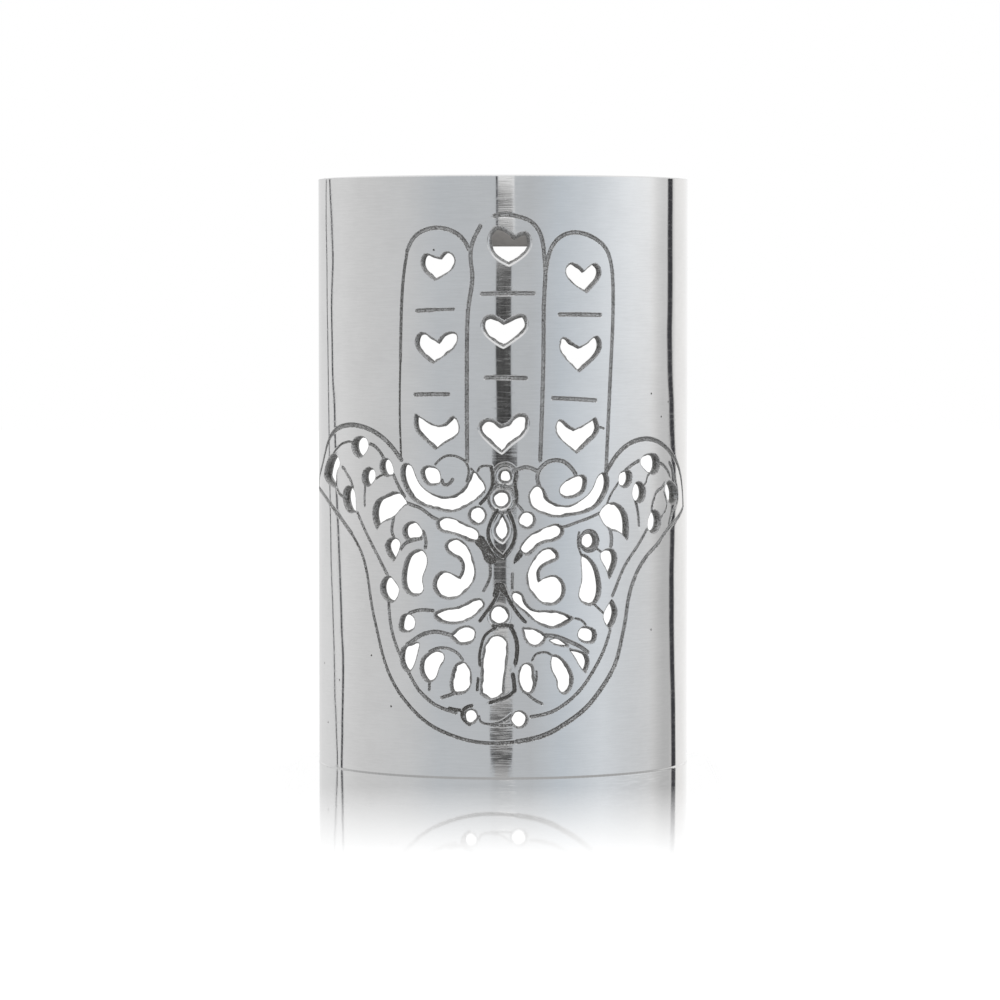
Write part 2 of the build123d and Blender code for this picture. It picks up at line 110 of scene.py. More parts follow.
# How raw the metal is beside a cut, from 1 to 0: for a groove by the distance as a share of its width, for a
# rim by the distance as a share of the rim's, and for a recess by the distance outside it. Above a buffed
# heart the rim is as raw as the others', the sooner the higher the turn given below is. There it is partly
# real rough metal and partly painted shade: its darker colour, on the upper rim only, stands for the shade
# of the rounding that faces down.
groove_rawness = ((0.3, 0.5, 0.64, 0.8), (1, 0.48, 0.24, 0))
rim_rawness = ((0, 0.5, 1, 1.45), (1, 0.7, 0.3, 0))
buffed_rawness = ((0, 0.3, 0.5), (1, 0.6, 0))
recess_rawness = ((0, 0.2 * mm, 0.55 * mm), (0.6, 0.3, 0))
top_shade_turn = 2

# How finely the meshes follow the shapes: steps along the cuts, over the plain face, along its edges and over
# the back, the gaps that points keep from each other and from a cut-out's edge, the gap that a field keeps
# from other points in its own step, and the least parts of a line and points of a round cut-out
line_step = 0.7 * mm
recess_step = 0.7 * line_step
groove_step = 0.9 * line_step
plain_step = 3.2 * mm
edge_step = plain_step / 2
back_step = 2 * plain_step
least_gap = 0.2 * line_step
hole_clearance = 0.16 * line_step
field_clearance = 0.42
least_parts = 4
ring_points = 12

# Gaps that count as none: between the points of a fill, between points that are joined, and in a length to
# divide by
fill_gap = 1e-7
same_place = 0.01 * mm
least_length = 1e-9

# How many points of a line are compared with the face at once
row_length = 40

# Rows of points beside the cuts: for a rim and for the casting's edges in their widths, with the margin that
# stays free at the edges as a share of the nearest row, for a groove in its width, with one past its shoulder
# and one past its end, for a recess, and for a pinhole in its size
ring_parts = (1.5, 1.1, 0.2, 0.55)
edge_margin = 0.9
groove_parts = (0.85, -0.85, 0.64, -0.64, 0.46, -0.46, 0.3, -0.3, 0)
shoulder_part = 1.15
groove_overrun = 0.64
recess_rows = (-1.7 * mm, -1.1 * mm, -0.6 * mm, -0.25 * mm, 0, 0.25 * mm, 0.6 * mm, 1.1 * mm, 1.7 * mm)
pinhole_parts = (0, 0.6, 1.1, 1.8)
pinhole_points = 6

# The strap: its rolled edges, its hole, and the angle from which an edge stays sharp, in degrees
bar_round = 0.6 * mm
bar_round_parts = 4
hanging_hole = 5 * mm
hanging_hole_points = 48
bar_crease = 50

# The weld beads: how hollow their section is, their ripples and how deep these are, the least height above
# their foot that counts, and the sharp angle
bead_hollow = 0.25
bead_points = 9
bead_ripples = 10
bead_ripple = 0.07
ripple_steps = 6
least_height = 0.001 * mm
bead_crease = 60

# What a sand mould leaves: how detailed its grain is, its pits' and its dark patches' scales beside the
# grain's, the pits' share in the height, and where the patches come in
grain_detail = (3, 0.6)
pit_scale = 1.3
pit_share = 0.5
patch_scale = 0.2
patch_from = (0.35, 0.7)

# What a buffing wheel leaves: its scratches' stretch and detail, and its smudges' scale beside theirs, their
# detail and where they come in
scratch_stretch = (0.06, 0.06, 1)
scratch_detail = (2, 0.6)
smudge_scale = 0.02
smudge_detail = (4, 0.65)
smudge_from = (0.35, 0.75)

# The plate's buffed metal: its tones where it is clean and smudged, its scratches' spacing, tones and depth,
# its roughness, and the slow waves in it
buffed_tones = (0.86, 0.82)
buff_spacing = 0.4 * mm
streak_from = (0.35, 0.65)
streak_tones = (0.985, 1.015)
streak_height = 0.001 * mm
sheen_from = (0.45, 0.7)
buffed_roughness = (0.04, 0.1)
wave_scale = 28
wave_height = 0.18 * mm

# Its bare casting: the grit that breaks up its border, its tones, its grain and how much rougher it is
grit_scale = 3300
grit_contrast = (4, -1)
bare_from = (0.3, 0.5)
bare_tones = (0.62, 0.46)
bare_roughness = 0.44
plate_grain = 0.9 * mm
plate_pits = 0.2 * mm

# Its stain: the specks that it comes in, how much of them a full stain brings out, its colour, and how much
# of a metal it is
speck_scale = 2900
speck_place = (0.3, 0.1, 0.2)
speck_detail = (2, 0.6)
stain_reach = 0.4
soot_from = (0.66, 0.78)
soot_colour = (0.09, 0.086, 0.08, 1)
soot_metal = 0.2

# The strap's and the beads' finishes
bar_colours = ((0.62, 0.6, 0.58, 1), (0.42, 0.405, 0.39, 1))
bar_roughness = (0.38, 0.5)
bar_metal = 0.85
bar_line_spacing = 0.3 * mm
bar_line_height = 0.02 * mm
bead_colours = ((0.68, 0.67, 0.66, 1), (0.3, 0.28, 0.26, 1))
bead_roughness = (0.35, 0.6)
bead_metal = 0.9
bead_grain = 0.5 * mm
bead_pits = 0.06 * mm

# The lens: its length and film in millimetres, how far down it looks in degrees, its height above the table,
# its distance from the shell's axis, how far it stands to the side, and how far it sees
lens_length = 165.24
film_width = 36
look_down = 2.507
eye_height = 159 * mm
eye_distance = 1581.15 * mm
eye_side = -1.03 * mm
sight = 20

# The tent's light by compass bearing from the lens, in degrees: its strength, and how much bluer than white
# it is
tent_light = [
    (-180, 1, 0), (-173, 1, 0), (-167, 0.78, 0), (-155, 0.74, 0), (-119, 0.73, 0), (-94, 0.655, 0),
    (-61, 0.62, 0.01), (-40, 0.57, 0.04), (-14, 0.554, 0.035), (17, 0.539, 0.035), (36, 0.617, 0.07),
    (64, 0.76, 0.045), (87, 0.79, 0.025), (103, 0.8, 0.01), (107, 0.76, 0), (113, 0.66, 0), (119, 0.6, 0),
    (126, 0.6, 0), (132, 0.66, -0.01), (136, 0.85, -0.01), (150, 0.9, -0.01), (173, 1, 0), (180, 1, 0),
]

# The right-hand wall's growth in light, by the height at which the face shows it, as a share of the shell's,
# and the bearings between which it comes in and goes out
right_growth = [(0, 0.84), (0.35, 0.87), (0.62, 1), (0.79, 1.07), (1, 1.17)]
right_from = (55, 90)
right_to = (126, 134)

# The tent above and below, by how steep the way there is: where each comes in, and its light
ceiling_from = (0.12, 0.5)
ceiling_light = 0.9
floor_from = (-0.6, -0.2)
floor_light = 0.42

# The tent's dark seams, by the height at which the face shows them and their bearing there, with half their
# width in degrees and the height where each begins
seams = [
    (0.8, -2, [(0, -126.3), (0.043, -127), (0.128, -130.5), (0.213, -132.1), (0.281, -133.6), (0.349, -136.1),
               (0.486, -137.8), (0.622, -140.5), (0.69, -140.5), (0.792, -143.5), (0.877, -142.5),
               (0.96, -145.7), (1, -141.5)]),
    (1.2, -2, [(0, -120.9), (0.043, -119.8), (0.094, -119.2), (0.153, -118.6), (0.213, -119.8),
               (0.315, -122.2), (0.383, -124.3), (0.468, -127), (0.58, -129.8), (0.64, -132.1),
               (0.74, -134.4), (0.81, -135.2), (0.877, -130.5), (0.937, -135.2), (1, -137.8)]),
    (3.5, -2, [(0, 134.3), (0.128, 132.8), (0.213, 130.5), (0.349, 129.8), (0.46, 135), (0.5, 135),
               (0.54, 132.8), (0.622, 129.1), (0.69, 127.8), (0.74, 126.5), (0.79, 127.8), (1, 127.8)]),
    (0.5, 0.9, [(0, -4), (1, -4)]),
]

# The seams' colour, how softly their sides fade, in their half widths, over what height each comes in, and
# the heights between which all of them end
seam_colour = (0.05, 0.05, 0.055, 1)
seam_fade = (0.7, 1.3)
seam_start = 0.04
seam_ends = (1.2, 1.3)

# The slit that the lens looks through, by the height at which the face shows it: its bearing, half its width
# in degrees, and its light
slit = [
    (-1, -1.2, 5, 0.5), (-0.03, -1.2, 4, 0.5), (-0.012, -1.2, 4.4, 0.35), (0.004, -1.2, 5.4, 0.1),
    (0.016, -1.4, 6.4, 0.01), (0.069, -1.4, 7.2, 0.01), (0.076, -1, 7.2, 0.58), (0.25, -1.6, 3.8, 0.6),
    (0.275, -1.9, 3.8, 0.08), (0.36, -1.6, 3.8, 0.08), (0.42, 0, 5, 0.08), (0.45, 1.1, 7.5, 0.08),
    (0.51, 1.1, 7.5, 0.08), (0.53, 0.7, 4.7, 0.08), (0.6, 0.4, 4.4, 0.06), (0.7, 0.3, 4.6, 0.07),
    (0.81, 0.2, 4.6, 0.08), (0.835, 0.2, 4.6, 0.2), (0.85, 0.3, 4.6, 0.62), (0.88, 0.4, 4.6, 0.5),
    (0.9, 0.5, 4.6, 0.04), (0.938, 1, 4.6, 0.06), (0.955, 1.5, 4.8, 0.6), (0.972, 1.9, 5, 0.88),
    (1.5, 1.9, 5, 0.85),
]
slit_blur = 0.5

# The heights, in the lens's own, that the face shows in the table: the tent is turned over there, and the
# slit has one colour
on_table = (0.93, 1.3)
slit_on_table = (0.4947, 0.51, 0.5253, 1)

# Folds in the slit's dark cloth: their stretch, their scale, and the light they leave. The slit's lighter
# stretches have none.
fold_stretch = (0.2, 0.2, 1)
fold_scale = 90
fold_detail = (3, 0.6)
fold_from = (0.3, 0.7)
fold_light = (0.4, 1.6)
folded_under = (0.1, 0.4)

# The table: its half width, its paint, its glow for the lens, and how blurred its gloss is
table_size = 4
table_tone = 0.85
table_lift = 0.35
table_blur = 0.03

# The table's gloss: where it starts and is full in front of the object, and where it ends behind and beside
gloss_front = (-255 * mm, -55 * mm)
gloss_behind = (35 * mm, 80 * mm)
gloss_beside = (66 * mm, 80 * mm)

# Where each outline lies, in thousandths of the hand's height: first across, from the hand's middle line,
# then up, from the hand's foot. A smooth outline is one closed curve.
smooth_holes = {
    "left_thumb_top": [(-309, 573), (-325, 569), (-335, 559), (-333, 547), (-323, 538), (-310, 535),
                       (-298, 542), (-288, 555), (-291, 567)],
    "left_thumb_inner": [(-241, 533), (-231, 528), (-225, 516), (-224, 506), (-233, 501), (-246, 503),
                         (-253, 512), (-254, 523), (-249, 531)],
    "left_thumb_seed": [(-285, 514), (-297, 509), (-304, 496), (-300, 485), (-290, 480), (-277, 487),
                        (-269, 498), (-272, 509)],
    "left_spiral": [(-141, 519), (-129, 515), (-122, 502), (-124, 490), (-134, 486), (-147, 487),
                    (-157, 498), (-160, 508), (-154, 518)],
    "left_crescent": [(-186, 522), (-178, 510), (-171, 494), (-157, 477), (-136, 466), (-114, 461),
                      (-93, 465), (-75, 478), (-65, 494), (-56, 510), (-45, 500), (-35, 476), (-51, 460),
                      (-74, 445), (-99, 436), (-129, 440), (-159, 448), (-183, 462), (-197, 483),
                      (-204, 507), (-197, 523)],
    "left_lobe": [(-177, 413), (-166, 404), (-161, 392), (-169, 384), (-183, 381), (-196, 383),
                  (-201, 394), (-197, 406), (-189, 411)],
    "left_long": [(-162, 360), (-153, 348), (-155, 327), (-163, 302), (-161, 286), (-169, 277),
                  (-189, 277), (-201, 288), (-204, 307), (-199, 332), (-189, 350), (-175, 359)],
    "left_banana": [(-118, 422), (-93, 419), (-66, 407), (-49, 394), (-50, 382), (-63, 380), (-85, 390),
                    (-107, 396), (-125, 402), (-129, 415)],
    "right_banana": [(105, 409), (81, 404), (56, 393), (39, 379), (32, 362), (41, 354), (53, 360),
                     (71, 376), (95, 381), (111, 390), (114, 402)],
    "left_sickle": [(-48, 269), (-40, 261), (-48, 248), (-64, 235), (-83, 226), (-106, 223), (-128, 228),
                    (-137, 237), (-122, 247), (-97, 251), (-74, 260), (-59, 268)],
    "left_window": [(-237, 308), (-224, 298), (-215, 286), (-218, 272), (-231, 260), (-246, 266),
                    (-256, 281), (-254, 296), (-246, 305)],
    "left_round": [(-193, 237), (-181, 229), (-180, 217), (-187, 208), (-200, 205), (-211, 208),
                   (-211, 222), (-205, 234)],
    "left_leaf": [(-172, 183), (-175, 165), (-184, 140), (-195, 129), (-206, 137), (-211, 156),
                  (-206, 172), (-188, 180)],
    "left_outer_oval": [(-132, 169), (-121, 163), (-121, 152), (-130, 138), (-137, 120), (-151, 111),
                        (-163, 121), (-167, 140), (-160, 157), (-146, 166)],
    "left_inner_oval": [(-83, 149), (-72, 140), (-67, 121), (-72, 100), (-86, 90), (-101, 91), (-106, 105),
                        (-102, 127), (-95, 143)],
    "right_outer_oval": [(92, 161), (107, 155), (121, 139), (129, 119), (124, 98), (113, 89), (103, 96),
                         (99, 114), (91, 131), (88, 150)],
    "right_inner_oval": [(40, 147), (29, 140), (25, 125), (26, 107), (32, 95), (42, 90), (52, 98),
                         (54, 112), (52, 131), (50, 143)],
    "left_foot": [(-69, 59), (-59, 56), (-56, 46), (-61, 36), (-72, 33), (-81, 38), (-82, 49), (-77, 57)],
    "right_round": [(154, 214), (145, 207), (143, 198), (149, 189), (162, 185), (175, 186), (180, 197),
                    (177, 207), (166, 212)],
    "right_long": [(155, 351), (171, 341), (184, 323), (190, 300), (189, 274), (178, 259), (161, 258),
                   (147, 271), (151, 295), (153, 326)],
    "right_spiral": [(150, 502), (134, 498), (118, 488), (110, 477), (113, 466), (127, 462), (144, 465),
                     (157, 474), (162, 487), (160, 500)],
    "right_crescent": [(65, 483), (76, 476), (84, 459), (102, 447), (124, 444), (148, 452), (168, 465),
                       (182, 483), (192, 501), (205, 506), (212, 491), (205, 468), (188, 447), (165, 435),
                       (132, 429), (100, 426), (74, 433), (53, 448), (50, 467)],
    "right_thumb_inner": [(255, 509), (243, 505), (238, 493), (241, 483), (252, 479), (264, 484),
                          (270, 497), (266, 507)],
    "right_thumb_seed": [(285, 486), (276, 477), (273, 464), (279, 453), (293, 449), (305, 457),
                         (308, 470), (299, 483)],
    "right_thumb_top": [(321, 539), (306, 536), (296, 526), (307, 513), (323, 504), (341, 503), (354, 514),
                        (354, 528), (341, 538)],
    "right_thumb_outer": [(388, 484), (379, 473), (383, 458), (396, 445), (415, 442), (432, 448),
                          (433, 464), (418, 478), (402, 484)],
    "right_thumb_low": [(333, 430), (321, 419), (316, 403), (323, 392), (340, 390), (355, 399), (359, 414),
                        (349, 427)],
}

# An outline with points is several curves, each from one point to the next.
pointed_holes = {
    "left_index_heart": [
        [(-116, 914), (-129, 917), (-146, 921), (-153, 909), (-146, 890), (-126, 874)],
        [(-126, 874), (-105, 886), (-88, 904), (-91, 920), (-102, 925), (-116, 914)]],
    "left_middle_heart": [
        [(-123, 755), (-137, 764), (-158, 772), (-168, 758), (-157, 736), (-133, 717)],
        [(-133, 717), (-107, 734), (-87, 754), (-87, 771), (-101, 773), (-123, 755)]],
    "left_low_heart": [
        [(-128, 596), (-147, 604), (-171, 618)],
        [(-171, 618), (-171, 594), (-153, 573), (-130, 554)],
        [(-130, 554), (-107, 569), (-87, 583), (-85, 600), (-95, 614), (-107, 602), (-128, 596)]],
    "centre_top_heart": [
        [(28, 951), (14, 963), (-4, 970), (-17, 953), (-10, 922), (17, 904)],
        [(17, 904), (42, 920), (56, 941), (51, 959), (28, 951)]],
    "centre_middle_heart": [
        [(5, 790), (-8, 799), (-24, 802), (-33, 788), (-21, 766), (4, 749)],
        [(4, 749), (29, 766), (47, 788), (41, 804), (25, 800), (5, 790)]],
    "centre_low_heart": [
        [(-4, 595), (-14, 602), (-29, 607), (-41, 597), (-28, 572), (-2, 549)],
        [(-2, 549), (22, 570), (45, 594), (42, 616), (29, 615), (13, 600), (-4, 595)]],
    "right_top_heart": [
        [(164, 889), (152, 899), (135, 903), (128, 893), (141, 869), (169, 851)],
        [(169, 851), (187, 868), (199, 891), (189, 903), (175, 897), (164, 889)]],
    "right_middle_heart": [
        [(153, 745), (136, 754), (119, 763), (114, 748), (128, 723), (151, 701)],
        [(151, 701), (181, 724), (198, 754), (191, 765), (173, 755), (153, 745)]],
    "right_low_heart": [
        [(141, 589), (128, 596), (110, 607), (104, 592), (119, 568), (144, 547)],
        [(144, 547), (172, 569), (191, 593), (184, 611)],
        [(184, 611), (163, 598), (141, 589)]],
    "left_thumb_outer": [
        [(-402, 475), (-426, 478), (-449, 485), (-468, 494)],
        [(-468, 494), (-454, 513), (-429, 530), (-398, 535), (-383, 520), (-396, 505), (-400, 490),
         (-402, 475)]],
    "left_thumb_low": [
        [(-327, 430), (-348, 429), (-364, 443), (-368, 461), (-358, 474), (-340, 476)],
        [(-340, 476), (-331, 467), (-327, 448), (-327, 430)]],
    "left_thumb_root": [
        [(-193, 449), (-204, 463), (-219, 469), (-243, 461), (-263, 452), (-274, 433), (-272, 413),
         (-265, 399)],
        [(-265, 399), (-253, 412), (-235, 418), (-220, 427), (-209, 438), (-193, 449)]],
    "left_drop": [
        [(-225, 339), (-239, 355), (-243, 368), (-235, 378), (-221, 381), (-211, 374), (-214, 358),
         (-225, 339)]],
    "left_comma": [
        [(-87, 309), (-102, 316), (-119, 320), (-135, 306), (-136, 287), (-121, 273), (-98, 271),
         (-75, 286), (-57, 314), (-61, 344), (-75, 373), (-96, 382), (-112, 371), (-105, 357), (-87, 347),
         (-79, 326), (-87, 309)]],
    "right_comma": [
        [(67, 303), (79, 309), (97, 312), (112, 300), (115, 282), (101, 263), (79, 260), (59, 274),
         (43, 308), (54, 339), (75, 362), (98, 361), (103, 349), (81, 337), (65, 319), (67, 303)]],
    "diamond": [
        [(-3, 430), (-10, 416), (-18, 401), (-13, 387), (-3, 379)],
        [(-3, 379), (5, 389), (9, 402), (4, 417), (-3, 430)]],
    "left_arch_drop": [
        [(-106, 199), (-93, 210), (-75, 217), (-60, 211), (-60, 196), (-72, 185), (-90, 186),
         (-106, 199)]],
    "right_arch_drop": [
        [(79, 199), (62, 209), (47, 213), (33, 214)],
        [(33, 214), (38, 194), (52, 181), (68, 184), (79, 199)]],
    "arch_slot": [
        [(85, 190), (98, 193), (111, 188), (121, 180)],
        [(121, 180), (105, 181), (85, 190)]],
    "arch_leaf": [
        [(125, 172), (144, 168), (160, 159), (163, 146), (156, 129)],
        [(156, 129), (146, 141), (137, 156), (125, 172)]],
    "right_sickle": [
        [(131, 232), (108, 242), (83, 246), (57, 247), (39, 262), (26, 282), (15, 281), (15, 268),
         (31, 251), (56, 230), (84, 216), (108, 218), (131, 232)]],
    "right_window": [
        [(217, 263), (207, 250), (199, 235), (203, 221), (212, 210)],
        [(212, 210), (223, 224), (228, 242), (217, 263)]],
    "right_thumb_root": [
        [(192, 429), (204, 443), (219, 448), (240, 442), (254, 427), (259, 403), (257, 378)],
        [(257, 378), (240, 393), (217, 400), (204, 409), (192, 429)]],
    "right_drop": [
        [(212, 306), (207, 323), (197, 339), (194, 351), (208, 360), (222, 358), (229, 343), (222, 323),
         (212, 306)]],
    "keyhole_window": [
        [(-48, 90), (-46, 127), (-43, 161), (-34, 188), (-17, 200), (-1, 193), (3, 176), (0, 147),
         (-4, 117), (-5, 90)],
        [(-5, 90), (-27, 80), (-48, 90)]],
}

# A round hole is a middle, across and up, and a radius.
round_holes = {
    "upper_ring": (4, 502, 12),
    "lower_ring": (-4, 459, 16),
    "left_palm_round": (-50, 428, 16),
    "right_palm_round": (44, 419, 15),
    "right_halo": (168, 378, 15),
    "dome": (-11, 239, 18),
    "right_foot": (24, 41, 15),
}

# The cut-outs whose rims are buffed round. All others keep the raw edge of the casting.
buffed_holes = ("centre_top_heart", "centre_middle_heart", "centre_low_heart", "upper_ring", "lower_ring",
                "diamond", "dome")

# Recesses sunk into the face with raw floors, as closed curves
recesses = {
    "left_leaf": [(-55, 384), (-45, 390), (-32, 376), (-21, 357), (-16, 341), (-27, 337), (-35, 341),
                  (-42, 360)],
    "right_leaf": [(18, 337), (21, 349), (29, 361), (36, 367), (36, 357), (26, 343)],
    "dome_top": [(-17, 299), (-3, 299), (2, 288), (3, 274), (-2, 278), (-9, 286), (-17, 276), (-21, 275),
                 (-20, 288)],
}

# Pinholes in the casting
pinholes = [(329, 656), (391, 639), (363, 611), (-284, 155), (-390, 101), (-449, 14), (323, 202), (-147, 916),
            (-128, 930), (-470, 128), (-235, 60)]

# The engraved lines, by their width in thousandths and how stained they are. Each is one curve, in the order
# in which it runs.
engraved_lines = {
    (8, 0.52): [
        [(-204, 532), (-235, 564), (-270, 584), (-310, 594), (-350, 595), (-390, 587), (-420, 574),
         (-450, 548), (-480, 516), (-505, 498), (-522, 482), (-528, 467)],
        [(-528, 467), (-480, 459), (-430, 441), (-380, 415), (-340, 387)],
        [(20, -1), (70, 10), (120, 35), (160, 63), (192, 97), (222, 138), (241, 190), (251, 228),
         (258, 262), (275, 303), (310, 343), (350, 368), (385, 392), (425, 408), (450, 418), (477, 432)],
        [(477, 432), (470, 466), (445, 509), (405, 539), (375, 554), (340, 566), (300, 569), (265, 561),
         (235, 542), (207, 507)],
    ],
    (6, 0.62): [
        [(-340, 387), (-307, 347), (-291, 300), (-280, 245), (-268, 203), (-250, 146), (-226, 101),
         (-190, 60), (-150, 29), (-115, 13), (-75, 1), (-20, -4), (20, -1)],
        [(-203, 720), (-199, 820), (-192, 890), (-184, 930)],
    ],
    (4, 0.75): [
        [(-204, 532), (-206, 620), (-203, 720)],
    ],
    (7, 0.42): [
        [(-184, 930), (-170, 953), (-148, 967), (-120, 972), (-97, 968), (-74, 955), (-58, 930)],
        [(-68, 530), (-67, 650), (-65, 760), (-60, 830), (-53, 885), (-56, 915), (-50, 948), (-36, 975)],
        [(-9, 994), (10, 996), (35, 993), (60, 983), (77, 961), (84, 925), (86, 890), (83, 840),
         (81, 770), (77, 650), (71, 532)],
        [(87, 890), (95, 926), (112, 951), (135, 962), (160, 962), (190, 951), (213, 932), (224, 905),
         (228, 865), (227, 800), (221, 710), (214, 610), (207, 507)],
        [(-165, 815), (-128, 817)],
        [(-171, 656), (-137, 657), (-103, 657)],
        [(-35, 847), (14, 848), (63, 848)],
        [(-30, 689), (8, 689), (46, 688)],
        [(113, 808), (155, 808), (198, 807)],
        [(98, 650), (140, 648), (185, 645)],
        [(68, 485), (65, 500), (68, 512), (76, 522), (86, 529), (96, 532), (108, 532), (120, 528),
         (130, 520), (137, 512), (141, 505)],
        [(20, 512), (30, 516), (40, 519), (55, 517), (65, 512)],
        [(-103, 200), (-115, 203), (-130, 206), (-150, 204), (-165, 199), (-180, 190), (-196, 180)],
        [(78, 200), (92, 199), (106, 195), (118, 190), (132, 184), (148, 176), (162, 166)],
        [(215, 399), (218, 385), (217, 367)],
    ],
    (7, 0.85): [
        [(10, 217), (17, 203), (22, 177), (18, 147)],
        [(13, 127), (15, 110), (16, 96)],
    ],
    (6, 0.85): [
        [(-66, 67), (-79, 62), (-85, 51), (-81, 39), (-71, 31)],
        [(-110, 61), (-99, 59), (-90, 58)],
        [(-2, 292), (7, 270), (18, 251), (28, 237), (38, 226)],
        [(-9, 290), (-21, 265), (-34, 247), (-48, 228)],
        [(16, 96), (6, 87), (-10, 80), (-31, 73)],
        [(-23, 219), (-4, 220), (13, 219)],
        [(-22, 519), (-19, 499), (-21, 484), (-30, 466), (-44, 450)],
        [(26, 512), (22, 487), (25, 470), (24, 452)],
        [(-12, 438), (-25, 415), (-30, 395), (-27, 378), (-15, 360), (-4, 350)],
        [(9, 438), (17, 418), (21, 400), (19, 382), (10, 364), (-2, 350)],
    ],
    (5, 0.85): [
        [(-18, 215), (-38, 201), (-47, 177), (-50, 160), (-49, 144)],
        [(-53, 119), (-55, 97)],
    ],
    (5, 0.5): [
        [(27, 503), (20, 519), (4, 526), (-12, 519), (-19, 503), (-12, 487), (4, 480), (20, 487),
         (27, 503)],
        [(24, 459), (16, 477), (-2, 485), (-20, 477), (-28, 459), (-20, 441), (-2, 433), (16, 441),
         (24, 459)],
        [(188, 378), (182, 392), (168, 398), (154, 392), (148, 378), (154, 364), (168, 358), (182, 364),
         (188, 378)],
        [(-172, 94), (-155, 80), (-140, 68)],
    ],
    (6, 0.52): [
        [(-320, 427), (-295, 390), (-265, 348), (-240, 311)],
        [(-238, 264), (-235, 225), (-221, 176), (-197, 132), (-172, 94), (-140, 68), (-97, 53)],
        [(312, 395), (280, 360), (250, 328), (232, 297), (219, 272)],
        [(213, 206), (198, 170), (174, 131), (150, 100), (115, 70), (85, 54), (47, 46)],
        [(-118, 494), (-114, 486), (-105, 487), (-97, 496)],
        [(-281, 560), (-270, 557), (-260, 550), (-250, 540), (-244, 531)],
        [(-222, 502), (-215, 488), (-207, 475), (-198, 463)],
        [(-191, 449), (-180, 446), (-165, 441), (-150, 432), (-140, 425), (-129, 420)],
        [(-372, 513), (-362, 509), (-357, 503), (-345, 493), (-334, 476)],
        [(-223, 423), (-226, 410), (-228, 395), (-224, 384)],
        [(290, 528), (280, 524), (265, 517), (255, 511)],
        [(350, 520), (358, 521), (370, 517), (385, 508), (397, 497)],
        [(328, 432), (330, 442), (335, 452), (342, 463), (352, 470), (362, 473), (375, 483)],
        [(280, 450), (285, 435), (289, 404)],
        [(395, 522), (410, 508), (420, 490), (433, 475), (438, 462), (438, 450), (430, 438), (415, 430),
         (402, 418), (392, 403)],
        [(-190, 240), (-175, 245), (-160, 247), (-140, 246)],
        [(-98, 90), (-110, 86), (-125, 81)],
        [(-158, 396), (-153, 380), (-154, 365)],
        [(-162, 383), (-180, 379), (-198, 372), (-207, 362)],
    ],
    (5, 0.52): [
        [(-130, 817), (-90, 818)],
        [(112, 405), (125, 408), (140, 413), (160, 419), (180, 426), (190, 430)],
        [(-148, 168), (-135, 174), (-120, 176), (-105, 173), (-92, 166), (-82, 153)],
        [(-149, 114), (-150, 95)],
        [(38, 92), (47, 83), (57, 76), (68, 70)],
        [(-296, 478), (-298, 460), (-298, 442)],
        [(-394, 470), (-385, 462), (-375, 458), (-363, 457)],
        [(20, 455), (28, 447), (36, 437)],
        [(-27, 334), (-27, 315), (-33, 298), (-40, 285)],
        [(15, 318), (14, 290)],
    ],
    (4, 0.6): [
        [(188, 596), (195, 594), (203, 591)],
        [(-131, 524), (-122, 533), (-110, 540), (-96, 541), (-82, 537), (-71, 529), (-66, 518), (-66, 505),
         (-70, 492)],
        [(-57, 512), (-60, 516)],
        [(-48, 512), (-44, 519), (-36, 522), (-22, 521)],
        [(-414, 533), (-408, 540), (-400, 545), (-390, 550), (-380, 555), (-370, 559), (-360, 561),
         (-350, 563), (-340, 563), (-332, 561)],
        [(-266, 494), (-255, 500), (-247, 503)],
        [(384, 443), (380, 432), (370, 424), (358, 415)],
        [(372, 465), (380, 450), (383, 442)],
        [(322, 502), (315, 497), (312, 488), (305, 481)],
        [(236, 487), (228, 478), (220, 468), (212, 455), (209, 448)],
        [(50, 153), (57, 164), (68, 168), (80, 167), (88, 162)],
        [(58, 132), (58, 118), (55, 104)],
        [(137, 231), (148, 228), (158, 219)],
        [(172, 262), (185, 250), (197, 240)],
        [(180, 370), (186, 362), (193, 357)],
        [(147, 395), (144, 380), (146, 365), (152, 350)],
        [(-52, 47), (-50, 38), (-40, 33), (-25, 33), (-10, 37), (0, 43), (9, 50)],
        [(-30, 30), (-10, 30), (12, 31)],
    ],
}


def on_face(points):
    """Places of points of the hand on the unrolled face, in metres: along it from its middle, and up."""
    across, up = np.array(points, float).T / pattern_height
    along = (across - hand_lean * (up - 0.5)) * hand_reach * pattern_height / thumb_tip
    return np.column_stack([along, foot_gap + up * hand_height])


def round_row(count):
    """Places at even turns on a circle of radius 1."""
    turns = np.linspace(0, 2 * pi, count, endpoint=False)
    return np.column_stack([np.cos(turns), np.sin(turns)])


def smooth_line(points, closed, step):
    """Points at even steps along the smooth curve through some points."""
    wrap = 3 if closed else 0
    knots = np.vstack([points[-wrap:], points, points[:wrap + 1]]) if closed else np.asarray(points)
    lengths = np.linalg.norm(np.diff(knots, axis=0), axis=1)
    at = np.concatenate([[0], np.cumsum(lengths)])
    count = len(knots)
    matrix = np.eye(count)
    slopes = np.diff(knots, axis=0) / lengths[:, None]
    right = np.zeros((count, 2))
    for i in range(1, count - 1):
        matrix[i, i - 1:i + 2] = lengths[i - 1], 2 * (lengths[i - 1] + lengths[i]), lengths[i]
        right[i] = 6 * (slopes[i] - slopes[i - 1])
    bends = np.linalg.solve(matrix, right)
    first, last = (wrap, wrap + len(points)) if closed else (0, count - 1)
    parts = max(least_parts, round((at[last] - at[first]) / step))
    places = np.linspace(at[first], at[last], parts + 1)
    cell = np.clip(np.searchsorted(at, places, "right") - 1, 0, count - 2)
    span = lengths[cell][:, None]
    before = (at[cell + 1] - places)[:, None]
    after = (places - at[cell])[:, None]
    line = (bends[cell] * before**3 + bends[cell + 1] * after**3) / (6 * span)
    line += (knots[cell] / span - bends[cell] * span / 6) * before
    line += (knots[cell + 1] / span - bends[cell + 1] * span / 6) * after
    return line[:-1] if closed else line


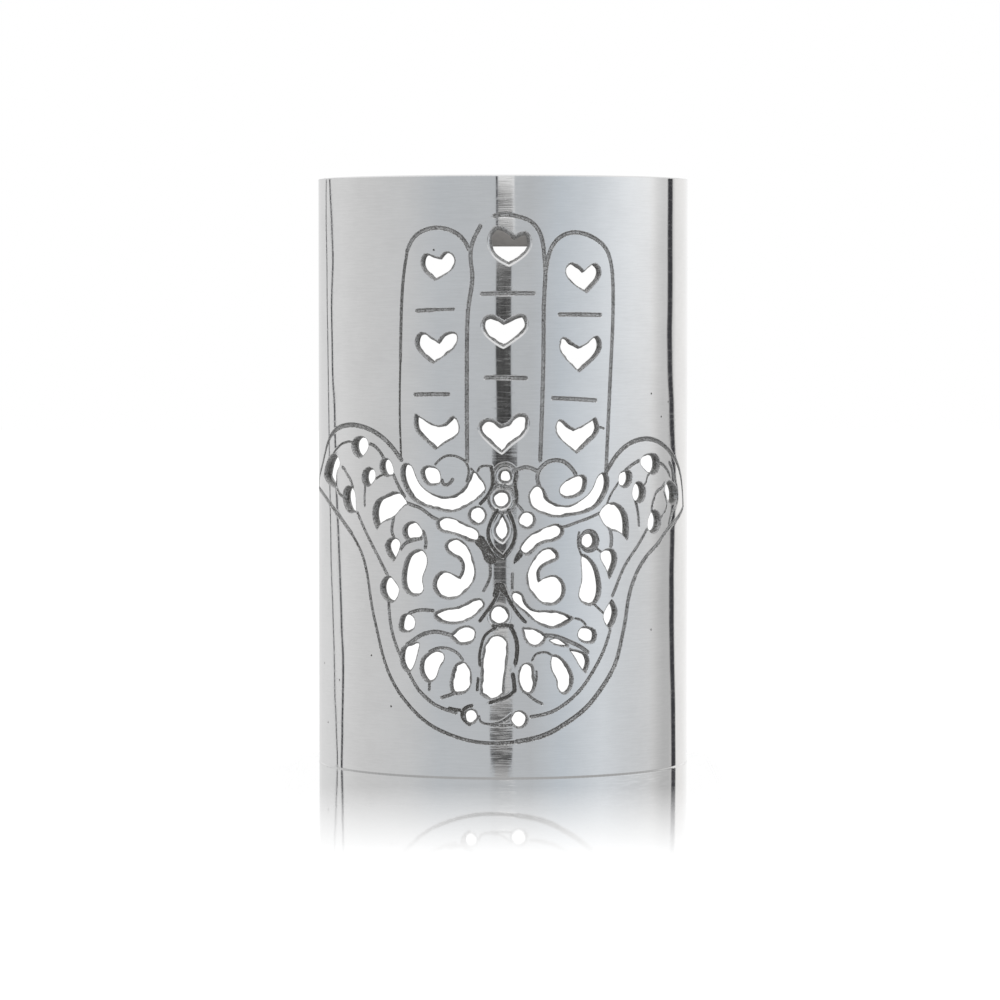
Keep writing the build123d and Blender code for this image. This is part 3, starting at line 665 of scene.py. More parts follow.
def hole_outlines(step):
    """Every cut-out as one closed row of points on the unrolled face, by its name."""
    outlines = {name: smooth_line(on_face(points), True, step) for name, points in smooth_holes.items()}
    for name, curves in pointed_holes.items():
        outlines[name] = np.vstack([smooth_line(on_face(points), False, step)[:-1] for points in curves])
    for name, (across, up, radius) in round_holes.items():
        size = radius * hand_height / pattern_height
        count = max(ring_points, round(2 * pi * size / step))
        outlines[name] = on_face([(across, up)])[0] + size * round_row(count)
    return outlines


def recess_outlines():
    """Every recess as one closed row of points on the unrolled face."""
    return [smooth_line(on_face(points), True, recess_step) for points in recesses.values()]


def groove_lines():
    """Every engraved line: its width, how stained it is, and its row of points on the unrolled face."""
    return [(width * hand_height / pattern_height, darkness, smooth_line(on_face(points), False, groove_step))
            for (width, darkness), group in engraved_lines.items() for points in group]


def rim_of(name):
    """A cut-out's rim: its width and its depth."""
    return buffed_rim if name in buffed_holes else raw_rim


def inside(points, outline):
    """Which points lie inside a closed outline."""
    x, y = points[:, :1], points[:, 1:]
    ends = np.roll(outline, -1, axis=0)
    crosses = (outline[:, 1] > y) != (ends[:, 1] > y)
    rise = np.where(ends[:, 1] == outline[:, 1], 1, ends[:, 1] - outline[:, 1])
    reach = outline[:, 0] + (y - outline[:, 1]) / rise * (ends[:, 0] - outline[:, 0])
    return (crosses & (x < reach)).sum(axis=1) % 2 == 1


def near(points, row, reach):
    """Which points lie within reach of the box round a row of points."""
    low, high = row.min(axis=0) - reach, row.max(axis=0) + reach
    return np.flatnonzero(((points > low) & (points < high)).all(axis=1))


def nearest(points, row):
    """Distance of each point to a row of points, and the way to it from the nearest of them."""
    gaps = points[:, None, :] - row[None, :, :]
    distances = np.linalg.norm(gaps, axis=2)
    best = distances.argmin(axis=1)
    picked = np.arange(len(points))
    return distances[picked, best], gaps[picked, best]


def pieces_of(row):
    """A long row of points, in short pieces that share their ends."""
    return [row[start:start + row_length + 1] for start in range(0, len(row), row_length)]


def thin_out(points, gap):
    """Leave out each point that shares a small cell with an earlier one."""
    cells = np.round(points / gap).astype(int)
    kept = np.unique(cells, axis=0, return_index=True)[1]
    return points[np.sort(kept)]


def directions(line, closed):
    """The way ahead at each point of a line."""
    ahead = np.roll(line, -1, axis=0) - np.roll(line, 1, axis=0)
    if not closed:
        ahead[0], ahead[-1] = line[1] - line[0], line[-1] - line[-2]
    return ahead / np.linalg.norm(ahead, axis=1)[:, None]


def beside(line, offsets, closed):
    """Rows of points beside a line, at some distances from it."""
    ahead = directions(line, closed)
    sideways = np.column_stack([-ahead[:, 1], ahead[:, 0]])
    return np.vstack([line + offset * sideways for offset in offsets])


def drawn_out(line, length):
    """A line with another point past each of its ends."""
    first, last = line[0] - line[1], line[-1] - line[-2]
    return np.vstack([line[0] + first * length / np.linalg.norm(first), line,
                      line[-1] + last * length / np.linalg.norm(last)])


def tree_of(places):
    """Some places, ready for a search of the nearest."""
    tree = kdtree.KDTree(len(places))
    for i, spot in enumerate(places):
        tree.insert(spot, i)
    tree.balance()
    return tree


def field_points(step, taken):
    """A regular field of points over the face, clear of the rows already taken."""
    columns = round(2 * half_turn_length / step)
    levels = round(shell_height / step)
    along, up = np.meshgrid(np.linspace(-half_turn_length, half_turn_length, columns + 1)[1:-1],
                            np.linspace(0, shell_height, levels + 1)[1:-1])
    along[::2] += half_turn_length / columns
    field = np.column_stack([along.ravel(), up.ravel()])
    free = np.abs(field[:, 0]) < half_turn_length - edge_width
    tree = tree_of([(x, y, 0) for x, y in taken])
    for i in np.flatnonzero(free):
        free[i] = tree.find((field[i, 0], field[i, 1], 0))[2] > step * field_clearance
    return field[free]


def rim_row(inset):
    """Points along the face's four edges, some way in from them."""
    right, top = half_turn_length - inset, shell_height - inset
    along = np.linspace(-right, right, round(2 * right / edge_step))
    up = np.linspace(inset, top, round((top - inset) / edge_step))
    level = [np.column_stack([along, np.full(len(along), height)]) for height in (inset, top)]
    upright = [np.column_stack([np.full(len(up), side), up]) for side in (-right, right)]
    return np.vstack(level + upright)


def outside_holes(points, outlines):
    """Leave out the points that lie in a cut-out or almost on its edge."""
    keep = np.ones(len(points), bool)
    for outline in outlines:
        picked = near(points, outline, line_step)
        if len(picked):
            distance = nearest(points[picked], outline)[0]
            keep[picked] &= ~inside(points[picked], outline) & (distance > hole_clearance)
    return points[keep]


def face_points(outlines, lines):
    """Inner points of the face: rows round the cut-outs and beside the engraved lines, and a plain field."""
    rows = []
    for name, outline in outlines.items():
        width = rim_of(name)[0]
        rows.append(beside(outline, [side * width * part for side in (-1, 1) for part in ring_parts], True))
    for outline in recess_outlines():
        rows.append(beside(outline, recess_rows, True))
    for middle in on_face(pinholes):
        rows += [middle + round_row(pinhole_points) * pinhole_size * part for part in pinhole_parts]
    for width, _, line in lines:
        shoulder = width / 2 + shoulder_part * shoulder_width
        offsets = [width * part for part in groove_parts] + [shoulder, -shoulder]
        rows.append(beside(drawn_out(line, groove_overrun * width), offsets, False))
    for part in ring_parts:
        rows.append(rim_row(edge_width * part))
    close = thin_out(np.vstack(rows), least_gap)
    points = np.vstack([close, field_points(plain_step, close)])
    margin = edge_width * min(ring_parts) * edge_margin
    low = np.array([margin - half_turn_length, margin])
    high = np.array([half_turn_length, shell_height]) - margin
    return outside_holes(points[((points > low) & (points < high)).all(axis=1)], outlines.values())


def edge_loop():
    """The face's own outline, as one closed row of points."""
    right, top = half_turn_length, shell_height
    corners = np.array([(-right, 0), (right, 0), (right, top), (-right, top)])
    sides = []
    for start, end in zip(corners, np.roll(corners, -1, axis=0)):
        count = round(np.linalg.norm(end - start) / edge_step)
        sides.append(start + (end - start) * np.linspace(0, 1, count, endpoint=False)[:, None])
    return np.vstack(sides)


def filled(outlines, points):
    """Triangles of the face, with the cut-outs left open. The outlines' points come first."""
    loops = outlines + [edge_loop()]
    verts = np.vstack(loops + [points])
    edges = []
    start = 0
    for loop in loops:
        count = len(loop)
        edges += [(start + i, start + (i + 1) % count) for i in range(count)]
        start += count
    found, _, faces = geometry.delaunay_2d_cdt([Vector(v) for v in verts], edges, [], 0, fill_gap)[:3]
    places, faces = np.array([tuple(v) for v in found]), np.array(faces)
    middles = places[faces].mean(axis=1)
    open_face = np.zeros(len(faces), bool)
    for outline in outlines:
        picked = near(middles, outline, 0)
        open_face[picked] |= inside(middles[picked], outline)
    return places, faces[~open_face]


# The relief of the face


class Relief:
    """At each point of the face: its depth below the round, its tilt, and how raw and how stained it is."""

    def __init__(self, points):
        self.points = points
        self.depth, self.raw, self.stain = np.zeros((3, len(points)))
        self.tilt = np.zeros((len(points), 2))

    def lower(self, picked, new_depth, slope, way):
        """Sink the picked points where the new form is the deeper one."""
        length = np.maximum(np.linalg.norm(way, axis=1), least_length)
        new_tilt = -way * (slope / length)[:, None]
        deeper = new_depth > self.depth[picked]
        chosen = picked[deeper]
        self.depth[chosen], self.tilt[chosen] = new_depth[deeper], new_tilt[deeper]

    def roughen(self, picked, new_raw, new_stain):
        """Bare the casting's skin at the picked points where the new form is the rawer one."""
        rawer = new_raw > self.raw[picked]
        chosen = picked[rawer]
        self.raw[chosen], self.stain[chosen] = new_raw[rawer], new_stain

    def round_over(self, picked, distance, way, width, drop):
        """Sink the picked points by a quarter round of some width and drop."""
        part = np.clip(1 - distance / width, 0, 1)
        level = np.sqrt(np.maximum(1 - part**2, upright_limit))
        self.lower(picked, drop * (1 - level), drop / width * part / level, way)

    def add_rim(self, name, outline):
        """Round a cut-out's rim over and roughen it."""
        width, drop = rim_of(name)
        picked = near(self.points, outline, rim_rawness[0][-1] * width)
        distance, way = nearest(self.points[picked], outline)
        self.round_over(picked, distance, way, width, drop)
        rawness = np.interp(distance / width, *(buffed_rawness if name in buffed_holes else rim_rawness))
        # Above a buffed heart the rim is made raw and darker: painted shade of the rounding that faces down
        # there, on real rough metal
        if name in buffed_holes and name.endswith("heart"):
            rise = way[:, 1] / np.maximum(distance, least_length)
            painted_top_shade = np.clip(rise * top_shade_turn, 0, 1)
            rawness = np.maximum(rawness, np.interp(distance / width, *rim_rawness) * painted_top_shade)
        self.roughen(picked, rawness, rim_stain)

    def add_edges(self):
        """Round the casting's four outer edges over."""
        everywhere = np.arange(len(self.points))
        for axis, level in ((0, -half_turn_length), (0, half_turn_length), (1, 0), (1, shell_height)):
            way = np.zeros_like(self.points)
            way[:, axis] = self.points[:, axis] - level
            self.round_over(everywhere, np.abs(way[:, axis]), way, edge_width, edge_width)

    def add_recess(self, outline):
        """Sink a recess, with a raw floor."""
        picked = near(self.points, outline, recess_rawness[0][-1])
        distance, way = nearest(self.points[picked], outline)
        within = inside(self.points[picked], outline)
        part = np.clip(1 - distance / recess_edge, 0, 1) * within
        slope = -2 * recess_depth / recess_edge * part
        self.lower(picked, recess_depth * (1 - part**2) * within, slope, way)
        self.roughen(picked, np.where(within, 1, np.interp(distance, *recess_rawness)), recess_stain)

    def add_pinhole(self, middle):
        """Sink a pinhole: a small pit with raw metal round it."""
        picked = near(self.points, middle[None, :], pinhole_size * pinhole_halo)
        distance, way = nearest(self.points[picked], middle[None, :])
        part = distance / pinhole_size
        self.lower(picked, pinhole_size * np.clip(1 - part, 0, 1), 0 * distance, way)
        self.roughen(picked, np.clip(pinhole_halo - part, 0, 1), pinhole_stain)

    def add_groove(self, width, darkness, line):
        """Engrave a line: a raw groove, less deep where it is narrow, between soft shoulders."""
        floor = groove_depth * min(1, width / (full_groove * hand_height / pattern_height))
        for row in pieces_of(line):
            picked = near(self.points, row, width)
            if not len(picked):
                continue
            distance, way = nearest(self.points[picked], row)
            part = np.clip(2 * distance / width, 0, 1)
            outside = np.maximum(distance - width / 2, 0)
            self.round_over(picked, outside, way, shoulder_width, shoulder_depth)
            slope = floor * (2 * groove_power) * part**(groove_power - 1) / width
            self.lower(picked, (floor + shoulder_depth) * (1 - part**groove_power), slope, way)
            self.roughen(picked, np.interp(distance / width, *groove_rawness), darkness)


def relief(points, outlines, lines):
    """The whole relief of the face at some points."""
    face = Relief(points)
    for name, outline in outlines.items():
        face.add_rim(name, outline)
    face.add_edges()
    for outline in recess_outlines():
        face.add_recess(outline)
    for middle in on_face(pinholes):
        face.add_pinhole(middle)
    for width, darkness, line in lines:
        face.add_groove(width, darkness, line)
    return face


# The casting


def bent(points, depth):
    """Places in space of points of the unrolled face, at some depth below the round."""
    turn = points[:, 0] / outer_radius
    radius = outer_radius - depth
    return np.column_stack([radius * np.sin(turn), axis_y - radius * np.cos(turn), points[:, 1]])


def sheet_into(bm, points, faces, depth, raw, stain):
    """Add a bent sheet to a mesh, with how raw and how stained each of its points is."""
    verts = [bm.verts.new(spot) for spot in bent(points, depth)]
    for name, values in (("raw", raw), ("stain", stain)):
        layer = bm.verts.layers.float[name]
        for vert, value in zip(verts, values):
            vert[layer] = value
    for face in faces:
        bm.faces.new([verts[i] for i in face])


def new_verts(made):
    """The vertices among what an operator made."""
    return [item for item in made["geom"] if isinstance(item, bmesh.types.BMVert)]


def bare(bm, verts, stain):
    """Make vertices raw all over, and this stained."""
    for vert in verts:
        vert[bm.verts.layers.float["raw"]] = 1
        vert[bm.verts.layers.float["stain"]] = stain


def at_depth(verts, depth):
    """Move vertices along the shell's radius to a depth below its round."""
    for vert in verts:
        flat = Vector((vert.co.x, vert.co.y - axis_y)).normalized() * (outer_radius - depth)
        vert.co.x, vert.co.y = flat.x, axis_y + flat.y


def into_hole(outline):
    """The way into a cut-out, square to its edge, at each point of its outline."""
    ahead = directions(outline, True)
    ends = np.roll(outline, -1, axis=0)
    turn = np.sign(np.sum(outline[:, 0] * ends[:, 1] - outline[:, 1] * ends[:, 0]))
    return turn * np.column_stack([-ahead[:, 1], ahead[:, 0]])


def mean_width(outline):
    """How wide a cut-out is on the whole: its area over half its length round."""
    ends = np.roll(outline, -1, axis=0)
    area = abs(np.sum(outline[:, 0] * ends[:, 1] - outline[:, 1] * ends[:, 0])) / 2
    return 2 * area / np.linalg.norm(ends - outline, axis=1).sum()


def cast_wall(bm, ring, outline, chance):
    """Carry a cut-out's edge through the plate, with the ragged ridge that a mould's two halves leave."""
    inward = into_hole(outline)
    ragged = chance.normal(0, 1, len(ring))
    ragged = (ragged + ridge_blend * (np.roll(ragged, 1) + np.roll(ragged, -1))) * ridge_raggedness
    narrowness = np.clip(mean_width(outline) / narrow_gap, least_ridge, 1)
    for deep, closing, stain in wall_rings:
        edges = [bm.edges.get(pair) for pair in zip(ring, ring[1:] + ring[:1])]
        fresh = set(new_verts(bmesh.ops.extrude_edge_only(bm, edges=edges)))
        ring = [next(other for other in (edge.other_vert(vert) for edge in vert.link_edges) if other in fresh)
                for vert in ring]
        reach = closing * narrowness * (1 + ragged) if closing > 0 else np.full(len(ring), closing)
        for vert, spot in zip(ring, bent(outline + inward * reach[:, None], np.full(len(ring), deep))):
            vert.co = spot
        bare(bm, ring, stain)


def outer_wall(bm, border):
    """Carry the face's outer edges through the plate."""
    rim = new_verts(bmesh.ops.extrude_edge_only(bm, edges=border))
    at_depth(rim, wall)
    bare(bm, rim, back_stain)


def raw_back(bm, outlines):
    """Add the casting's back, left raw, with the cut-outs' far edges open in it."""
    far_edges = [outline + into_hole(outline) * wall_rings[-1][1] for outline in outlines.values()]
    field = field_points(back_step, np.vstack(far_edges + [edge_loop()]))
    points, faces = filled(far_edges, outside_holes(field, far_edges))
    level = np.ones(len(points))
    sheet_into(bm, points, faces, level * wall, level, level * back_stain)


def close_seams(bm):
    """Join the casting's sheets where they meet, with a sharp edge there."""
    for edge in bm.edges:
        if edge.is_boundary:
            edge.smooth = False
    bmesh.ops.remove_doubles(bm, verts=bm.verts, dist=same_place)
    bmesh.ops.recalc_face_normals(bm, faces=bm.faces)
    bmesh.ops.triangulate(bm, faces=bm.faces)


def pierced_plate():
    """The casting: a bent sheet with its reliefs, ragged walls in its cut-outs, and a raw back."""
    chance = np.random.default_rng(ridge_seed)
    outlines = hole_outlines(line_step)
    lines = groove_lines()
    inner = face_points(outlines, lines)
    points, faces = filled(list(outlines.values()), inner)
    face = relief(points, outlines, lines)
    bm = bmesh.new()
    for name in ("raw", "stain"):
        bm.verts.layers.float.new(name)
    sheet_into(bm, points, faces, face.depth, face.raw, face.stain)
    bm.verts.ensure_lookup_table()
    border = [edge for edge in bm.edges if edge.is_boundary]
    start = 0
    for outline in outlines.values():
        ring = bm.verts[start:start + len(outline)]
        start += len(outline)
        cast_wall(bm, ring, outline, chance)
    outer_wall(bm, [edge for edge in border if edge.verts[0].index >= start])
    raw_back(bm, outlines)
    close_seams(bm)
    mesh = smooth_mesh("pierced_plate", bm)
    first = len(points) - len(inner)
    set_normals(mesh, points[first:], face.depth[first:], face.tilt[first:])
    return mesh


def set_normals(mesh, points, depth, tilt):
    """Give the face's inner points the normals of their true round and reliefs."""
    turn = points[:, 0] / outer_radius
    out = np.column_stack([np.sin(turn), -np.cos(turn), 0 * turn])
    along = np.column_stack([np.cos(turn), np.sin(turn), 0 * turn])
    normals = out + tilt[:, :1] * along
    normals[:, 2] += tilt[:, 1]
    normals /= np.linalg.norm(normals, axis=1)[:, None]
    tree = tree_of(bent(points, depth))
    chosen = []
    for vert in mesh.vertices:
        _, i, gap = tree.find(vert.co)
        chosen.append(tuple(normals[i]) if gap < same_place else (0, 0, 0))
    mesh.normals_split_custom_set_from_vertices(chosen)


def to_object(name, mesh, finish):
    """Put a mesh into the scene as a piece of the casting, with its finish."""
    piece = bpy.data.objects.new(name, mesh)
    bpy.context.scene.collection.objects.link(piece)
    mesh.materials.append(finish)
    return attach(piece, "root")


def smooth_mesh(name, bm):
    """A smooth mesh from a bmesh, which is let go."""
    mesh = bpy.data.meshes.new(name)
    bm.to_mesh(mesh)
    bm.free()
    mesh.shade_smooth()
    return mesh


def creased_mesh(name, bm, crease):
    """A smooth mesh from a closed bmesh, with its edges kept from an angle up, in degrees."""
    bmesh.ops.recalc_face_normals(bm, faces=bm.faces)
    mesh = smooth_mesh(name, bm)
    mesh.set_sharp_from_angle(angle=radians(crease))
    return mesh


def flat_bar():
    """The strap: a bar with its edges rolled round and its hole bored."""
    size = strap_high - strap_low
    middle = (strap_high + strap_low) / 2
    bm = bmesh.new()
    bmesh.ops.create_grid(bm, x_segments=1, y_segments=1, size=0.5)
    bmesh.ops.delete(bm, geom=bm.faces[:], context="FACES_ONLY")
    bmesh.ops.scale(bm, vec=(size.x, size.z, 1), verts=bm.verts)
    bmesh.ops.create_circle(bm, segments=hanging_hole_points, radius=hanging_hole / 2)
    bmesh.ops.triangle_fill(bm, edges=bm.edges, use_beauty=True)
    raised = new_verts(bmesh.ops.extrude_face_region(bm, geom=bm.faces[:]))
    bmesh.ops.translate(bm, vec=(0, 0, size.y), verts=raised)
    bmesh.ops.recalc_face_normals(bm, faces=bm.faces)
    rims = [edge for edge in bm.edges
            if len(edge.link_faces) == 2 and edge.calc_face_angle() > radians(bar_crease)]
    bmesh.ops.bevel(bm, geom=rims, affect="EDGES", offset=bar_round, segments=bar_round_parts, profile=0.5,
                    material=-1)
    bmesh.ops.rotate(bm, cent=(0, 0, 0), matrix=Euler((pi / 2, 0, 0)).to_matrix(), verts=bm.verts)
    bmesh.ops.translate(bm, vec=(middle.x, strap_high.y, middle.z), verts=bm.verts)
    return creased_mesh("flat_bar", bm, bar_crease)


def weld_bead(node):
    """A fillet weld in the corner between the strap and the shell: its section, drawn up in ripples."""
    low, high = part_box(node)
    corner = Vector((max(low.x, high.x, key=abs), high.y, low.z))
    leg_x, leg_y = low.x + high.x - 2 * corner.x, low.y - high.y
    bm = bmesh.new()
    section = [bm.verts.new(corner)]
    for turn in np.linspace(0, pi / 2, bead_points):
        full = 1 - bead_hollow * sin(2 * turn)
        section.append(bm.verts.new(corner + Vector((leg_x * full * cos(turn), leg_y * full * sin(turn), 0))))
    ring = bm.faces.new(section)
    length = high.z - low.z
    steps = bead_ripples * ripple_steps
    ripples = [1 - bead_ripple * abs(sin(pi * bead_ripples * step / steps)) for step in range(steps + 1)]
    for before, now in zip(ripples, ripples[1:]):
        made = bmesh.ops.extrude_face_region(bm, geom=[ring])["geom"]
        ring = next(item for item in made if isinstance(item, bmesh.types.BMFace))
        bmesh.ops.translate(bm, vec=(0, 0, length / steps), verts=ring.verts)
        bmesh.ops.scale(bm, vec=(now / before, now / before, 1), space=Matrix.Translation(-corner),
                        verts=ring.verts)
    between = [face for face in bm.faces if len(face.verts) > 4 and face is not ring
               and face.calc_center_median().z > low.z + least_height]
    bmesh.ops.delete(bm, geom=between, context="FACES_ONLY")
    return creased_mesh("weld_bead", bm, bead_crease)


# Materials


def place(tree, kind, inputs, **settings):
    """Add a node. Its inputs are values, or the sockets that feed them."""
    made = tree.nodes.new("ShaderNode" + kind)
    for name, value in settings.items():
        setattr(made, name, value)
    for key, value in inputs.items():
        if isinstance(value, bpy.types.NodeSocket):
            tree.links.new(value, made.inputs[key])
        else:
            made.inputs[key].default_value = value
    return made


def sum_of(tree, kind, *values):
    """The result of a sum, such as MULTIPLY, on values or sockets."""
    return place(tree, "Math", dict(enumerate(values)), operation=kind).outputs[0]


def times(tree, first, *others):
    """Values or sockets multiplied."""
    for other in others:
        first = sum_of(tree, "MULTIPLY", first, other)
    return first


def times_plus(tree, first, second, third):
    """The product of two values or sockets, plus a third."""
    return sum_of(tree, "MULTIPLY_ADD", first, second, third)


def ranged(tree, value, low, high, to_low=0, to_high=1):
    """A value carried smoothly from one range to another."""
    return place(tree, "MapRange", {0: value, 1: low, 2: high, 3: to_low, 4: to_high},
                 interpolation_type="SMOOTHSTEP").outputs[0]


def evenly(tree, value, low, high):
    """A value carried evenly from a range to 0 and 1."""
    return place(tree, "MapRange", {0: value, 1: low, 2: high, 3: 0, 4: 1}).outputs[0]


def grey(tone):
    """A colour without hue."""
    return (tone, tone, tone, 1)


def mixed(tree, mask, low, high):
    """Two colours mixed by a mask."""
    return place(tree, "Mix", {0: mask, 6: low, 7: high}, data_type="RGBA").outputs[2]


def scaled(tree, colour, amount):
    """A colour made lighter or darker."""
    return place(tree, "VectorMath", {0: colour, "Scale": amount}, operation="SCALE").outputs[0]


def parts_of(tree, vector):
    """The X, Y and Z of a vector or a colour."""
    return place(tree, "SeparateXYZ", {0: vector}).outputs


def noise(tree, place_on, scale, detail=2, roughness=0.5):
    """How high a noise stands at each point, from 0 to 1."""
    return place(tree, "TexNoise", {"Vector": place_on, "Scale": scale, "Detail": detail,
                                    "Roughness": roughness}).outputs[0]


def bump(tree, height):
    """A surface's normal with heights in metres pressed into it."""
    return place(tree, "Bump", {"Strength": 1, "Distance": 1, "Height": height}).outputs[0]


def seen_by_lens(tree):
    """1 where the lens looks at a thing itself, and 0 in its reflections and its light."""
    return place(tree, "LightPath", {}).outputs["Is Camera Ray"]


def effect(name, inputs, outputs):
    """An empty node group with number inputs and outputs, and its two end nodes."""
    group = bpy.data.node_groups.new(name, "ShaderNodeTree")
    for key, value in inputs.items():
        kind = "NodeSocketVector" if value is None else "NodeSocketFloat"
        socket = group.interface.new_socket(key, in_out="INPUT", socket_type=kind)
        if value is not None:
            socket.default_value = value
    for key in outputs:
        group.interface.new_socket(key, in_out="OUTPUT", socket_type="NodeSocketFloat")
    return group, group.nodes.new("NodeGroupInput").outputs, group.nodes.new("NodeGroupOutput")


def sand_grain():
    """The skin that a sand mould leaves: a pitted grain, and patches where it is darker."""
    group, given, result = effect("sand_grain", {"Place": None, "Size": mm}, ["Height", "Soot"])
    scale = sum_of(group, "DIVIDE", 1, given["Size"])
    coarse = noise(group, given["Place"], scale, *grain_detail)
    pits = place(group, "TexVoronoi", {"Vector": given["Place"], "Scale": times(group, scale, pit_scale),
                                       "Randomness": 1}).outputs["Distance"]
    patches = noise(group, given["Place"], times(group, scale, patch_scale), *grain_detail)
    group.links.new(sum_of(group, "ADD", coarse, times(group, pits, pit_share)), result.inputs["Height"])
    group.links.new(ranged(group, patches, *patch_from), result.inputs["Soot"])
    return group


def polish_marks():
    """What a buffing wheel leaves: fine scratches along one way, and faint smudges."""
    group, given, result = effect("polish_marks", {"Place": None, "Spacing": mm}, ["Height", "Smudge"])
    drawn = place(group, "Mapping", {"Vector": given["Place"], "Scale": scratch_stretch}).outputs[0]
    scale = sum_of(group, "DIVIDE", 1, given["Spacing"])
    group.links.new(noise(group, drawn, scale, *scratch_detail), result.inputs["Height"])
    smudges = noise(group, given["Place"], times(group, scale, smudge_scale), *smudge_detail)
    group.links.new(ranged(group, smudges, *smudge_from), result.inputs["Smudge"])
    return group


def material(name):
    """A new material, with its tree, its Principled shader and the object's own coordinates."""
    made = bpy.data.materials.new(name)
    made.use_nodes = True
    tree = made.node_tree
    shader = next(item for item in tree.nodes if item.type == "BSDF_PRINCIPLED")
    return made, tree, shader, place(tree, "TexCoord", {}).outputs["Object"]


def set_shader(tree, shader, **values):
    """Set or feed sockets of a shader by their names."""
    for key, value in values.items():
        socket = shader.inputs[key.replace("_", " ")]
        if isinstance(value, bpy.types.NodeSocket):
            tree.links.new(value, socket)
        else:
            socket.default_value = value


def attribute(tree, name):
    """A number that the mesh carries at each of its points."""
    return place(tree, "Attribute", {}, attribute_name=name).outputs["Fac"]


def cast_and_buffed(grain, marks):
    """The plate's finish: a buffed face with slow waves in it, and speckled raw casting in its cuts."""
    made, tree, shader, where = material("cast_and_buffed")
    skin = place(tree, "Group", {"Place": where, "Size": plate_grain}, node_tree=grain).outputs
    buff = place(tree, "Group", {"Place": where, "Spacing": buff_spacing}, node_tree=marks).outputs
    grit = times_plus(tree, noise(tree, where, grit_scale, *speck_detail), *grit_contrast)
    rough = ranged(tree, times(tree, attribute(tree, "raw"), grit), *bare_from)
    elsewhere = place(tree, "Mapping", {"Vector": where, "Location": speck_place}).outputs[0]
    specks = noise(tree, elsewhere, speck_scale, *speck_detail)
    soot = ranged(tree, times_plus(tree, attribute(tree, "stain"), stain_reach, specks), *soot_from)
    buffed = scaled(tree, mixed(tree, buff["Smudge"], *map(grey, buffed_tones)),
                    ranged(tree, buff["Height"], *streak_from, *streak_tones))
    cast = mixed(tree, soot, mixed(tree, skin["Soot"], *map(grey, bare_tones)), soot_colour)
    waves = times(tree, noise(tree, where, wave_scale, 1), wave_height)
    streaks = times(tree, buff["Height"], streak_height)
    pits = times(tree, skin["Height"], plate_pits, rough)
    height = sum_of(tree, "ADD", sum_of(tree, "ADD", waves, streaks), pits)
    sheen = ranged(tree, buff["Height"], *sheen_from, *buffed_roughness)
    set_shader(tree, shader, Base_Color=mixed(tree, rough, buffed, cast),
               Metallic=times_plus(tree, times(tree, rough, soot), soot_metal - 1, 1),
               Roughness=times_plus(tree, rough, bare_roughness, sheen), Normal=bump(tree, height))
    return made


def drawn_bar(marks):
    """The strap's finish: a drawn bar, dull, with fine lines along it."""
    made, tree, shader, where = material("drawn_bar")
    lines = place(tree, "Group", {"Place": where, "Spacing": bar_line_spacing}, node_tree=marks).outputs
    set_shader(tree, shader, Base_Color=mixed(tree, lines["Smudge"], *bar_colours), Metallic=bar_metal,
               Roughness=ranged(tree, lines["Smudge"], 0, 1, *bar_roughness),
               Normal=bump(tree, times(tree, lines["Height"], bar_line_height)))
    return made


def weld_metal(grain):
    """The beads' finish: bright frosted metal with soot beside it."""
    made, tree, shader, where = material("weld_metal")
    skin = place(tree, "Group", {"Place": where, "Size": bead_grain}, node_tree=grain).outputs
    set_shader(tree, shader, Base_Color=mixed(tree, skin["Soot"], *bead_colours), Metallic=bead_metal,
               Roughness=ranged(tree, skin["Soot"], 0, 1, *bead_roughness),
               Normal=bump(tree, times(tree, skin["Height"], bead_pits)))
    return made


grain, marks = sand_grain(), polish_marks()
plate = to_object("pierced_plate", pierced_plate(), cast_and_buffed(grain, marks))
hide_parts("pierced_shell")
bar = to_object("strap_bar", flat_bar(), drawn_bar(marks))
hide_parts("hanging_strap")
bead_finish = weld_metal(grain)
for side in ("left", "right"):
    bead = to_object(side + "_bead", weld_bead(side + "_weld_bead"), bead_finish)
    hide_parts(side + "_weld_bead")


# The studio: a pale tent all round, open in a narrow slit for the lens


def read_off(tree, value, low, high, stops, smooth=False):
    """What a row of stops gives along a value. A stop is a place on the value and up to three numbers."""
    node = place(tree, "ValToRGB", {0: evenly(tree, value, low, high)})
    node.color_ramp.interpolation = "B_SPLINE" if smooth else "LINEAR"
    elements = node.color_ramp.elements
    for at, *_ in stops[1:-1]:
        elements.new((at - low) / (high - low))
    for element, (_, *numbers) in zip(elements, stops):
        element.color = (numbers * 3)[:3] + [1]
    return node.outputs[0]


def off_bearing(tree, bearing, stored, whole):
    """How far a bearing lies from a stored one, which is a share of a whole, plus a half."""
    return sum_of(tree, "ABSOLUTE", times_plus(tree, sum_of(tree, "SUBTRACT", stored, 0.5), -whole, bearing))


def tent_walls(tree, bearing, shown_at):
    """The tent's light all round, with the right-hand wall's growth. The growth is stored halved."""
    walls = read_off(tree, bearing, -180, 180, [(at, light * (1 - blue), light, light * (1 + blue))
                                                for at, light, blue in tent_light])
    growth = read_off(tree, shown_at, 0, 1, [(at, light / 2) for at, light in right_growth])
    on_right = times(tree, ranged(tree, bearing, *right_from), ranged(tree, bearing, *right_to, 1, 0))
    return scaled(tree, walls, times_plus(tree, times_plus(tree, growth, 2, -1), on_right, 1))


